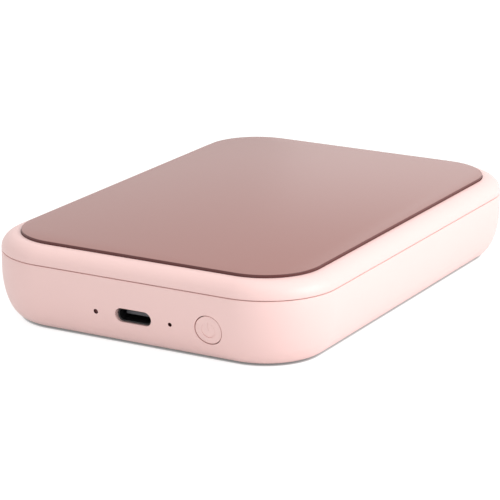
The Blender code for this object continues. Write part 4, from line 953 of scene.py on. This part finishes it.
    def add_cradles(self, mesh: Mesh) -> None:
        """Adds the ribs round the battery and the saddles under the motor.

        Args:
            mesh: The case's mesh.
        """
        root, floor_top = self.lift + self.floor / 2, self.lift + self.floor
        low, high = box_of("battery")
        middle = (low + high) / 2
        half = (high - low) / 2
        inner = Plan(half.x + self.seat, half.y + self.seat, self.rib_width)
        outer = inner.inset(-self.rib_width)
        top = floor_top + self.rib_height
        ribs = swept([(inner, root), (outer, root), (outer, top), (inner, top)], 4)
        caps = [face for face in ribs.faces if len(face.verts) > 4]
        bmesh.ops.delete(ribs, geom=caps, context="FACES_ONLY")
        loops = [item for item in ribs.edges if len(item.link_faces) == 1]
        bmesh.ops.bridge_loops(ribs, edges=loops)
        ribs.transform(Matrix.Translation((middle.x, middle.y, 0.0)))
        bmesh.ops.recalc_face_normals(ribs, faces=ribs.faces[:])
        absorb(mesh, ribs)
        low, high = box_of("motor")
        middle = (low + high) / 2
        radius = (high.y - low.y) / 2
        saddles, can = bmesh.new(), bmesh.new()
        half, reach = self.saddle_width / 2, self.saddle_share * radius
        for x in (low.x + 2 * self.saddle_width, high.x - 2 * self.saddle_width):
            add_box(saddles, (x - half, middle.y - reach, root),
                    (x + half, middle.y + reach, middle.z - radius / 3))
        add_rod(can, middle, Axis.X, radius + self.seat, high.x - low.x, 64)
        absorb(mesh, carve(saddles, can))

    def build(self) -> None:
        """Builds the case."""
        mesh = carve(self.skin(), self.openings())
        self.paint_pinhole_shade(mesh)
        self.add_rails(mesh)
        self.add_bosses(mesh)
        self.add_cradles(mesh)
        materials = [self.palette["blush_shell"], self.palette["painted_pinhole_shade"]]
        made = piece("lower_case_shell", mesh, materials, "printer_base",
                     ("lower_case",), 40.0)
        self.set_normals(made)


@dataclass
class Cover:
    """Crowned lid with its hooks and lugs, and the gloss plate in its pocket."""

    palette: Palette
    plan: Plan = CASE_PLAN
    rim: float = 16.17 * MM
    crown_start: float = 16.5 * MM
    crown_top: float = 19.92 * MM
    crown_inset: float = 4.2 * MM
    wall: float = 1.6 * MM
    roof: float = 1.2 * MM
    soft: float = 0.12 * MM
    flat_margin: float = 0.6 * MM
    corner_steps: int = 28
    crown_steps: int = 16
    pocket_depth: float = 0.5 * MM
    pocket_inset: float = 4.25 * MM
    pocket_radius: float = 13.65 * MM
    plate_inset: float = 4.4 * MM
    plate_radius: float = 13.5 * MM
    plate_seat: float = 0.3 * MM
    plate_edge: float = 0.14 * MM
    plate_edge_steps: int = 4
    plate_face_cosine: float = 0.95
    hook_reach: tuple[float, float] = (36.7 * MM, 37.9 * MM)
    hook_toe: tuple[float, float] = (37.3 * MM, 39.2 * MM)
    hook_start: float = -1.0 * MM
    hook_length: float = 3.5 * MM
    hook_low: float = 12.05 * MM
    hook_ramp: float = 13.06 * MM
    lug_reach: tuple[float, float] = (15.3 * MM, 17.3 * MM)
    lug_half: float = 1.32 * MM
    lug_low: float = 15.82 * MM
    pin_place: tuple[float, float] = (1.0 * MM, 17.12 * MM)
    pin_bore: float = 0.7 * MM

    def shell(self) -> Mesh:
        """The lid's crowned form with the plate's pocket."""
        pocket = Plan(self.plan.half_width - self.pocket_inset,
                      self.plan.half_length - self.pocket_inset, self.pocket_radius)
        floor = self.crown_top - self.pocket_depth
        stations = [(pocket, floor), (pocket, self.crown_top)]
        for sine, cosine in reversed(quarter_turn(self.crown_steps)):
            height = self.crown_start + (self.crown_top - self.crown_start) * sine
            draw = min(self.crown_inset * (1 - cosine), self.crown_inset - 2 * MERGE)
            stations.append((self.plan.inset(draw), height))
        stations.append((self.plan, self.rim + self.soft))
        stations.append((self.plan.inset(self.soft), self.rim))
        stations.append((self.plan.inset(self.wall), self.rim))
        ceiling = floor - self.roof
        top_draw = self.crown_inset + self.roof
        for sine, cosine in quarter_turn(self.crown_steps // 2):
            height = self.crown_start + (ceiling - self.crown_start) * sine
            draw = self.wall + (top_draw - self.wall) * (1 - cosine)
            stations.append((self.plan.inset(draw), height))
        stations.append((self.plan.inset(top_draw + self.flat_margin), ceiling))
        return swept(stations, self.corner_steps)

    def root(self) -> float:
        """Height inside the roof to which hooks and lugs reach."""
        return self.crown_top - self.pocket_depth - self.roof * 2 / 3

    def add_hooks(self, mesh: Mesh) -> None:
        """Adds the hooks, whose toes climb the ledges of the case.

        Args:
            mesh: The cover's mesh.
        """
        root = self.root()
        slope = math.tan(RAMP_SLOPE)
        for side in Side:
            for row in HOOK_ROWS:
                start = row + self.hook_start
                end = start + self.hook_length
                near, far = side.limits(*self.hook_reach)
                add_box(mesh, (near, start, self.hook_low), (far, end, root), self.soft)
                outline = [
                    (start, self.hook_low), (end, self.hook_low),
                    (end, self.hook_ramp + (end - row) * slope),
                    (start, self.hook_ramp + (start - row) * slope),
                ]
                add_prism(mesh, outline, *side.limits(*self.hook_toe))

    def add_lugs(self, mesh: Mesh) -> None:
        """Adds the bored lugs that carry the pressure plate.

        Args:
            mesh: The cover's mesh.
        """
        root = self.root()
        lugs, pin = bmesh.new(), bmesh.new()
        pin_y, pin_z = self.pin_place
        for side in Side:
            near, far = side.limits(*self.lug_reach)
            add_box(lugs, (near, pin_y - self.lug_half, self.lug_low),
                    (far, pin_y + self.lug_half, root), self.soft)
        add_rod(pin, Vector((0.0, pin_y, pin_z)), Axis.X, self.pin_bore,
                4 * self.lug_reach[1], 48)
        absorb(mesh, carve(lugs, pin))

    def plate(self) -> None:
        """Gloss plate whose softened edge and sides are darker."""
        outline = Plan(self.plan.half_width - self.plate_inset,
                       self.plan.half_length - self.plate_inset, self.plate_radius)
        low = self.crown_top - self.pocket_depth + self.plate_seat
        top, edge = CAD_HIGH.z, self.plate_edge
        stations = [(outline, low), (outline, top - edge)]
        for sine, cosine in quarter_turn(self.plate_edge_steps)[1:]:
            stations.append((outline.inset(edge * (1 - cosine)), top - edge * (1 - sine)))
        mesh = swept(stations, self.corner_steps)
        for face in mesh.faces:
            face.material_index = 1 if face.normal.z < self.plate_face_cosine else 0
        materials = [self.palette["rose_plate"], self.palette["rose_plate_edge"]]
        piece("rose_plate", mesh, materials, "cover", ("cover_plate",), 15.0)

    def build(self) -> None:
        """Builds the lid and its plate."""
        mesh = self.shell()
        self.add_hooks(mesh)
        self.add_lugs(mesh)
        piece("cover_shell", mesh, [self.palette["blush_shell"]], "cover",
              ("top_cover",), 40.0)
        self.plate()


@dataclass
class PowerButton:
    """Round button that follows the case's form, with a generic power sign engraved."""

    palette: Palette
    case: LowerCase
    radius: float = 3.25 * MM
    recess: float = 0.1 * MM
    flange_radius: float = 4.0 * MM
    flange_thickness: float = 0.6 * MM
    stem_radius: float = 1.5 * MM
    stem_length: float = 1.5 * MM
    steps: int = 96
    rings: int = 10
    rim_round: float = 0.1 * MM
    sign_radius: float = 1.65 * MM
    sign_width: float = 0.26 * MM
    sign_depth: float = 0.16 * MM
    sign_bar: tuple[float, float] = (-0.1 * MM, 1.75 * MM)
    sign_gap: float = math.radians(32.0)
    sign_clear: float = 1.0 * MM

    def face_y(self, height: float) -> float:
        """Y of the button's face, which follows the case's end."""
        return self.case.end_face(height) + self.recess

    def cap(self) -> Mesh:
        """The button's face, barrel, flange and stem."""
        x, z = self.case.button_middle
        mesh = bmesh.new()
        reach = self.radius - self.rim_round
        bmesh.ops.create_circle(mesh, cap_ends=True, segments=self.steps, radius=reach)
        face = mesh.faces[:]
        edges = list(face[0].edges)
        for _ in range(self.rings):
            bmesh.ops.inset_region(
                mesh, faces=face, thickness=reach / (self.rings + 2), depth=0.0,
                use_even_offset=True,
            )
        laid_along_y(mesh, x, z)
        for vert in mesh.verts:
            vert.co.y = self.face_y(vert.co.z)
        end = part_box("power_button")[1][1]
        back = end - self.stem_length
        front = back - self.flange_thickness
        rounded = [(self.radius - self.rim_round / 3, self.rim_round / 3),
                   (self.radius, self.rim_round)]
        straight = [
            (self.radius, front), (self.flange_radius, front), (self.flange_radius, back),
            (self.stem_radius, back), (self.stem_radius, end),
        ]
        for place, (radius, level) in enumerate(rounded + straight):
            verts, edges = extrude_rim(mesh, edges)
            for vert in verts:
                vert.co.x = x + (vert.co.x - x) * radius / reach
                vert.co.z = z + (vert.co.z - z) * radius / reach
                follows = place < len(rounded)
                vert.co.y = level + (self.face_y(vert.co.z) if follows else 0.0)
            reach = radius
        bmesh.ops.edgeloop_fill(mesh, edges=edges)
        bmesh.ops.recalc_face_normals(mesh, faces=mesh.faces[:])
        return mesh

    def power_sign(self) -> Mesh:
        """The generic power sign as a cutter that follows the button's face."""
        width, radius = self.sign_width, self.sign_radius
        tool = bmesh.new()
        square = bmesh.ops.create_grid(tool, x_segments=1, y_segments=1, size=0.5)["verts"]
        for vert in square:
            vert.co = (radius + vert.co.x * width, 0.0, vert.co.y * 2 * self.sign_clear)
        bmesh.ops.rotate(tool, verts=square, cent=(0, 0, 0),
                         matrix=Matrix.Rotation(math.pi / 2 + self.sign_gap, 3, "Z"))
        bmesh.ops.spin(tool, geom=tool.faces[:], cent=(0, 0, 0), axis=(0, 0, 1),
                       angle=2 * (math.pi - self.sign_gap), steps=48, use_merge=False)
        low, high = self.sign_bar
        add_box(tool, (-width / 2, low, -self.sign_clear), (width / 2, high, self.sign_clear))
        laid_along_y(tool, *self.case.button_middle)
        for vert in tool.verts:
            reach = self.sign_depth if vert.co.y > 0.0 else -self.sign_clear
            vert.co.y = self.face_y(vert.co.z) + reach
        bmesh.ops.recalc_face_normals(tool, faces=tool.faces[:])
        return tool

    def build(self) -> None:
        """Builds the button."""
        mesh = carve(self.cap(), self.power_sign())
        piece("power_button_cap", mesh, [self.palette["blush_shell"]], "button",
              ("power_button",), 30.0)


@dataclass
class Hardware:
    """Feet, screws and the charging socket."""

    palette: Palette
    foot_edge: float = 0.25 * MM
    foot_edge_steps: int = 4
    head_height: float = 0.9 * MM
    head_face: float = 0.96 * MM
    head_shoulder: tuple[float, float] = (0.86, 0.82)
    thread_radius: float = 0.7 * MM
    slot_width: float = 0.42 * MM
    slot_reach: float = 0.95 * MM
    slot_depth: float = 0.45 * MM
    shell_wall: float = 0.3 * MM
    contact_pitch: float = 0.5 * MM
    contact_width: float = 0.26 * MM
    contact_length: float = 3.0 * MM
    contact_proud: float = 0.02 * MM
    contact_count: int = 12

    def feet(self) -> None:
        """Rubber feet with rounded lower rims."""
        mesh = bmesh.new()
        for name in FEET:
            low, high = box_of(name)
            place = (low + high) / 2
            place.z = low.z
            radius, edge, height = (high.x - low.x) / 2, self.foot_edge, high.z - low.z
            profile = [(0.0, height), (radius, height)]
            for sine, cosine in quarter_turn(self.foot_edge_steps):
                profile.append((radius - edge * (1 - cosine), edge * (1 - sine)))
            profile.append((0.0, 0.0))
            add_turned(mesh, profile, place, Axis.Z, 64)
        piece("rubber_feet", mesh, [self.palette["rubber"]], "printer_base", FEET)

    def screws(self) -> None:
        """Pan-head screws with a cross recess."""
        mesh = bmesh.new()
        slots = (bmesh.new(), bmesh.new())
        for name in SCREWS:
            low, high = box_of(name)
            place = (low + high) / 2
            place.z = high.z - self.head_height
            radius, top = (high.x - low.x) / 2, self.head_height
            shoulder = (radius * self.head_shoulder[0], top * self.head_shoulder[1])
            profile = [
                (0.0, top), (self.head_face, top), shoulder, (radius, top / 2), (radius, 0.0),
                (self.thread_radius, 0.0),
                (self.thread_radius, low.z - place.z), (0.0, low.z - place.z),
            ]
            add_turned(mesh, profile, place, Axis.Z, 32)
            for tool, half in zip(slots, ((self.slot_reach, self.slot_width / 2),
                                          (self.slot_width / 2, self.slot_reach))):
                corner = Vector((place.x, place.y, high.z))
                add_box(tool, corner - Vector((*half, self.slot_depth)),
                        corner + Vector((*half, self.slot_depth)))
        for tool in slots:
            mesh = carve(mesh, tool)
        piece("cross_screws", mesh, [self.palette["steel"]], "printer_base", SCREWS)

    def socket(self) -> None:
        """Drawn shell of the charging socket, and the contacts on its tongue."""
        low, high = box_of("usb_shell")
        half = (high - low) / 2
        outer = Plan(half.x, half.z, half.z - MERGE)
        inner = outer.inset(self.shell_wall)
        lip = self.shell_wall / 3
        stations = [
            (outer, high.y), (outer, low.y + lip), (outer.inset(lip), low.y),
            (inner.inset(-lip), low.y), (inner, low.y + lip),
            (inner, high.y - 2 * self.shell_wall),
        ]
        mesh = laid_along_y(swept(stations, 12), (low.x + high.x) / 2, (low.z + high.z) / 2)
        piece("socket_shell", mesh, [self.palette["socket_black"]], "printer_base",
              ("usb_shell",), 40.0)
        low, high = box_of("usb_tongue")
        middle = (low.x + high.x) / 2
        mesh = bmesh.new()
        for count in range(self.contact_count):
            x = middle + (count - (self.contact_count - 1) / 2) * self.contact_pitch
            start = low.y + self.contact_width
            for bottom, top in ((low.z - self.contact_proud, low.z + self.contact_proud),
                                (high.z - self.contact_proud, high.z + self.contact_proud)):
                add_box(mesh, (x - self.contact_width / 2, start, bottom),
                        (x + self.contact_width / 2, start + self.contact_length, top))
        piece("socket_contacts", mesh, [self.palette["gold_pads"]], "printer_base")

    def build(self) -> None:
        """Builds the hardware."""
        self.feet()
        self.screws()
        self.socket()


# Inside


@dataclass
class BoardParts:
    """Small parts and pads on the main board."""

    palette: Palette
    chip_size: tuple[float, float, float] = (1.0 * MM, 0.5 * MM, 0.35 * MM)
    chip_end: float = 0.22 * MM
    chip_pitch: tuple[float, float] = (1.9 * MM, 1.5 * MM)
    banks: tuple[tuple[float, float, int, int], ...] = (
        (-30.0 * MM, -51.5 * MM, 4, 3), (22.6 * MM, -49.0 * MM, 5, 3),
        (-4.7 * MM, -46.0 * MM, 2, 1), (-20.0 * MM, -53.6 * MM, 4, 2),
    )
    can_low: tuple[float, float] = (-5.4 * MM, -50.4 * MM)
    can_size: tuple[float, float, float] = (3.2 * MM, 2.5 * MM, 0.8 * MM)
    coil_low: tuple[float, float] = (1.6 * MM, -50.2 * MM)
    coil_size: tuple[float, float, float] = (3.0 * MM, 3.0 * MM, 1.2 * MM)
    coil_radius: float = 1.2 * MM
    pin_pitch: float = 0.5 * MM
    pin_size: tuple[float, float, float] = (0.26 * MM, 0.28 * MM, 0.36 * MM)
    sink: float = 0.02 * MM
    soft: float = 0.06 * MM

    def passives(self, mesh: Mesh, ends: Mesh, base: float) -> None:
        """Adds the banks of chip resistors and capacitors.

        Args:
            mesh: Takes their bodies.
            ends: Takes their soldered ends.
            base: Height of the board's face.
        """
        length, width, height = self.chip_size
        for x, y, columns, rows in self.banks:
            for place in range(columns * rows):
                left = x + self.chip_pitch[0] * (place % columns)
                front = y + self.chip_pitch[1] * (place // columns)
                add_box(mesh, (left, front, base), (left + length, front + width, base + height),
                        self.soft)
                for start in (left - self.sink, left + length - self.chip_end + self.sink):
                    add_box(ends, (start, front - self.sink, base),
                            (start + self.chip_end, front + width + self.sink,
                             base + height + self.sink), self.soft / 2)

    def pin_row(self, low: float, high: float) -> list[float]:
        """Middles of a row of pins along one side of the controller chip.

        Args:
            low: Where the side starts.
            high: Where it ends.

        Returns:
            Each pin's middle.
        """
        count = int((high - low) / self.pin_pitch) - 2
        start = (low + high) / 2 - (count - 1) / 2 * self.pin_pitch
        return [start + place * self.pin_pitch for place in range(count)]

    def chip_pins(self, mesh: Mesh, base: float) -> None:
        """Adds the controller chip's soldered pins.

        Args:
            mesh: Takes the pins.
            base: Height of the board's face.
        """
        low, high = box_of("controller_chip")
        wide, deep, tall = self.pin_size
        for x in self.pin_row(low.x, high.x):
            add_box(mesh, (x - wide / 2, low.y - deep, base),
                    (x + wide / 2, low.y + deep, base + tall))
        for y in self.pin_row(low.y, high.y):
            add_box(mesh, (high.x - deep, y - wide / 2, base),
                    (high.x + deep, y + wide / 2, base + tall))

    def build(self) -> None:
        """Builds the parts."""
        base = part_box("main_board")[1][2] - self.sink
        bodies, metal = bmesh.new(), bmesh.new()
        self.passives(bodies, metal, base)
        self.chip_pins(metal, base)
        x, y = self.coil_low
        wide, deep, tall = self.coil_size
        add_box(bodies, (x, y, base), (x + wide, y + deep, base + tall), 3 * self.soft)
        add_turned(
            metal, [(0.0, tall + self.sink), (self.coil_radius, tall + self.sink),
                    (self.coil_radius, 0.0), (0.0, 0.0)],
            Vector((x + wide / 2, y + deep / 2, base)), Axis.Z, 32,
        )
        x, y = self.can_low
        wide, deep, tall = self.can_size
        add_box(metal, (x, y, base), (x + wide, y + deep, base + tall), 4 * self.soft)
        piece("board_chips", bodies, [self.palette["black_plastic"]], "printer_base")
        piece("board_solder", metal, [self.palette["solder"]], "printer_base")


@dataclass
class CoilSprings:
    """Springs over the pressure plate."""

    palette: Palette
    wire: float = 0.2 * MM
    wire_steps: int = 12
    turns: int = 4
    steps: int = 160
    pressed_share: float = 0.25

    def build(self) -> None:
        """Builds each spring as a helix that fills its frame node's box."""
        for side in ("left", "right"):
            low, high = box_of(f"pressure_spring_{side}")
            middle = (low + high) / 2
            start = Vector(((high.x - low.x) / 2 - self.wire, 0.0, low.z + self.wire))
            mesh = bmesh.new()
            ring = bmesh.ops.create_circle(
                mesh, segments=self.wire_steps, radius=self.wire,
                matrix=Matrix.Translation(start) @ Axis.Y.turn(),
            )["verts"]
            rise = (high.z - low.z - 2 * self.wire) / self.steps
            bmesh.ops.spin(
                mesh, geom=ring + mesh.edges[:], cent=(0, 0, 0), axis=(0, 0, 1),
                dvec=(0.0, 0.0, rise), angle=2 * math.pi * self.turns, steps=self.steps,
                use_merge=False,
            )
            bmesh.ops.holes_fill(mesh, edges=mesh.edges[:])
            bmesh.ops.recalc_face_normals(mesh, faces=mesh.faces[:])
            bmesh.ops.translate(mesh, verts=mesh.verts[:], vec=(middle.x, middle.y, 0.0))
            made = piece(f"coil_spring_{side}", mesh, [self.palette["spring_steel"]], "cover",
                         (f"pressure_spring_{side}",))
            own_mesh(made)


@dataclass
class Rollers:
    """Rubber rollers and their ground shafts."""

    palette: Palette
    edge: float = 0.15 * MM
    steps: int = 64

    def add_tube(self, mesh: Mesh, name: str, bore: float) -> None:
        """Adds a turned tube or rod that fills a frame node's box.

        Args:
            mesh: The mesh that takes it.
            name: The node.
            bore: Its bore's radius, or zero for a rod.
        """
        low, high = box_of(name)
        place = (low + high) / 2
        radius, half, edge = (high.y - low.y) / 2, (high.x - low.x) / 2, self.edge
        outside = [
            (radius - edge, half), (radius, half - edge), (radius, edge - half),
            (radius - edge, -half),
        ]
        profile = [(bore, half), *outside, (bore, -half)]
        add_turned(mesh, profile, place, Axis.X, self.steps)

    def build(self) -> None:
        """Builds both rollers' rubber and shafts."""
        groups = {
            "platen": ("platen_roller",),
            "pickup": ("pickup_roller_left", "pickup_roller_right"),
        }
        for body, rollers in groups.items():
            shaft = f"{body}_shaft"
            low, high = box_of(shaft)
            mesh = bmesh.new()
            self.add_tube(mesh, shaft, 0.0)
            piece(f"{body}_ground_shaft", mesh, [self.palette["steel"]], body, (shaft,))
            mesh = bmesh.new()
            for roller in rollers:
                self.add_tube(mesh, roller, (high.y - low.y) / 2)
            piece(f"{body}_rubber", mesh, [self.palette["roller_rubber"]], body, rollers)


# Frame nodes that keep their shape


@dataclass
class Mechanism:
    """Frame nodes whose shape is right, dressed in their real finishes."""

    palette: Palette
    special: dict[str, str] = field(default_factory=lambda: {
        "platen_gear": "white_nylon", "idler_gear": "white_nylon", "pickup_gear": "white_nylon",
        "reduction_gear": "white_nylon", "mechanism_frame": "black_moulding",
        "head_ribbon": "white_plastic", "usb_tongue": "tongue_resin",
        "reset_plunger": "black_plastic",
    })

    def build(self) -> None:
        """Gives each shown frame node its finish."""
        slots = {}
        for part in FRAME["record"]["subparts"]:
            slots[part.get("node") or part.get("name")] = part.get("material_slot")
        for name, node in FRAME["nodes"].items():
            if node.hide_render:
                continue
            finish = self.special.get(name) or slots.get(name) or "black_plastic"
            node.data.materials.clear()
            node.data.materials.append(self.palette[finish])
            LOG.info("%s: %s", name, finish)


# Studio


def seen_directly(tree: Tree) -> Socket:
    """Mask of the rays that show a backdrop as it is: camera, gloss and clear parts.

    Args:
        tree: The node tree that takes the mask.

    Returns:
        The mask.
    """
    path = add_node(tree, "ShaderNodeLightPath")
    seen = arithmetic(tree, "MAXIMUM", path.outputs["Is Camera Ray"],
                      path.outputs["Is Glossy Ray"])
    return arithmetic(tree, "MAXIMUM", seen, path.outputs["Is Transmission Ray"])


@dataclass(frozen=True)
class Lamp:
    """Soft square lamp aimed at the object: its place, its side and its power in watts."""

    name: str
    place: tuple[float, float, float]
    size: float
    power: float

    def build(self) -> None:
        """Hangs the lamp."""
        data = bpy.data.lights.new(self.name, "AREA")
        data.size = self.size
        data.energy = self.power
        made = bpy.data.objects.new(self.name, data)
        made.location = self.place
        made.rotation_euler = (-Vector(self.place)).to_track_quat("-Z", "Y").to_euler()
        bpy.context.scene.collection.objects.link(made)


@dataclass
class Studio:
    """Camera, lamps, floor and world of a plain white studio."""

    position: tuple[float, float, float] = (0.2704, -0.4857, 0.1738)
    target: tuple[float, float, float] = (-0.00138, -0.00289, 0.00836)
    lens: float = 173.7
    clip_start: float = 0.01
    floor_size: float = 12.0
    floor_grey: float = 0.85
    floor_glow: float = 1.25
    glow_share: float = 0.7
    # reach and strength of the painted contact shade that darkens the floor's glow next to the
    # object
    painted_contact_shade_reach: float = 0.65 * MM
    painted_contact_shade_power: float = 1.8
    world_strength: float = 0.70
    lamps: tuple[Lamp, ...] = (
        Lamp("key_lamp", (0.75, 0.05, 0.42), 0.55, 4.9),
        Lamp("top_lamp", (0.15, 0.1, 0.9), 0.8, 1.9),
        Lamp("front_lamp", (0.05, -0.9, 0.25), 0.6, 0.65),
        Lamp("sheen_lamp", (-0.4, 1.1, 0.25), 0.35, 0.115),
    )

    def camera(self) -> None:
        """Camera at the photograph's angle."""
        data = bpy.data.cameras.new("camera")
        data.lens = self.lens
        data.clip_start = self.clip_start
        made = bpy.data.objects.new("camera", data)
        made.location = self.position
        look = Vector(self.target) - Vector(self.position)
        made.rotation_euler = look.to_track_quat("-Z", "Y").to_euler()
        bpy.context.scene.collection.objects.link(made)
        bpy.context.scene.camera = made

    def floor_paper(self) -> bpy.types.Material:
        """White paper that keeps the object's shadow, with painted shade at the dark line where it
        stands: ambient occlusion darkens its glow next to the object.

        Returns:
            The floor's material.
        """
        material = bpy.data.materials.new("floor_paper")
        material.use_nodes = True
        tree = material.node_tree
        tree.nodes.clear()
        diffuse = add_node(tree, "ShaderNodeBsdfDiffuse")
        diffuse.inputs["Color"].default_value = (*[self.floor_grey] * 3, 1.0)
        # painted shade: ambient occlusion darkens the floor's glow where the object stands
        contact = add_node(tree, "ShaderNodeAmbientOcclusion")
        contact.inputs["Distance"].default_value = self.painted_contact_shade_reach
        painted_contact_shade = arithmetic(tree, "POWER", contact.outputs["AO"], self.painted_contact_shade_power)
        glow = add_node(tree, "ShaderNodeEmission")
        strength = arithmetic(tree, "MULTIPLY", painted_contact_shade, self.floor_glow)
        tree.links.new(strength, glow.inputs["Strength"])
        share = arithmetic(tree, "MULTIPLY", seen_directly(tree), self.glow_share)
        blend = add_node(tree, "ShaderNodeMixShader")
        output = add_node(tree, "ShaderNodeOutputMaterial")
        for place, source in enumerate((share, diffuse.outputs[0], glow.outputs[0])):
            tree.links.new(source, blend.inputs[place])
        tree.links.new(blend.outputs[0], output.inputs["Surface"])
        return material

    def floor(self) -> None:
        """Floor under the object."""
        mesh = bmesh.new()
        bmesh.ops.create_grid(mesh, x_segments=1, y_segments=1, size=self.floor_size / 2)
        data = bpy.data.meshes.new("floor")
        mesh.to_mesh(data)
        mesh.free()
        data.materials.append(self.floor_paper())
        made = bpy.data.objects.new("floor", data)
        bpy.context.scene.collection.objects.link(made)

    def world(self) -> None:
        """White surroundings: plain light on the object, white to the camera and in gloss."""
        world = bpy.data.worlds.new("studio")
        bpy.context.scene.world = world
        world.use_nodes = True
        tree = world.node_tree
        background = tree.nodes["Background"]
        background.inputs["Color"].default_value = (1.0, 1.0, 1.0, 1.0)
        rest = 1.0 - self.world_strength
        strength = arithmetic(tree, "MULTIPLY_ADD", seen_directly(tree), rest,
                              self.world_strength)
        tree.links.new(strength, background.inputs["Strength"])

    def build(self) -> None:
        """Sets up the whole studio."""
        bpy.context.scene.view_settings.view_transform = "Standard"
        self.camera()
        for lamp in self.lamps:
            lamp.build()
        self.floor()
        self.world()


def main() -> None:
    """Builds the printer's looks and the studio around it."""
    logging.basicConfig(level=logging.INFO)
    palette = Palette()
    Studio().build()
    case = LowerCase(palette)
    case.build()
    Cover(palette).build()
    PowerButton(palette, case).build()
    Hardware(palette).build()
    BoardParts(palette).build()
    CoilSprings(palette).build()
    Rollers(palette).build()
    Mechanism(palette).build()


if __name__ == "__main__":
    main()
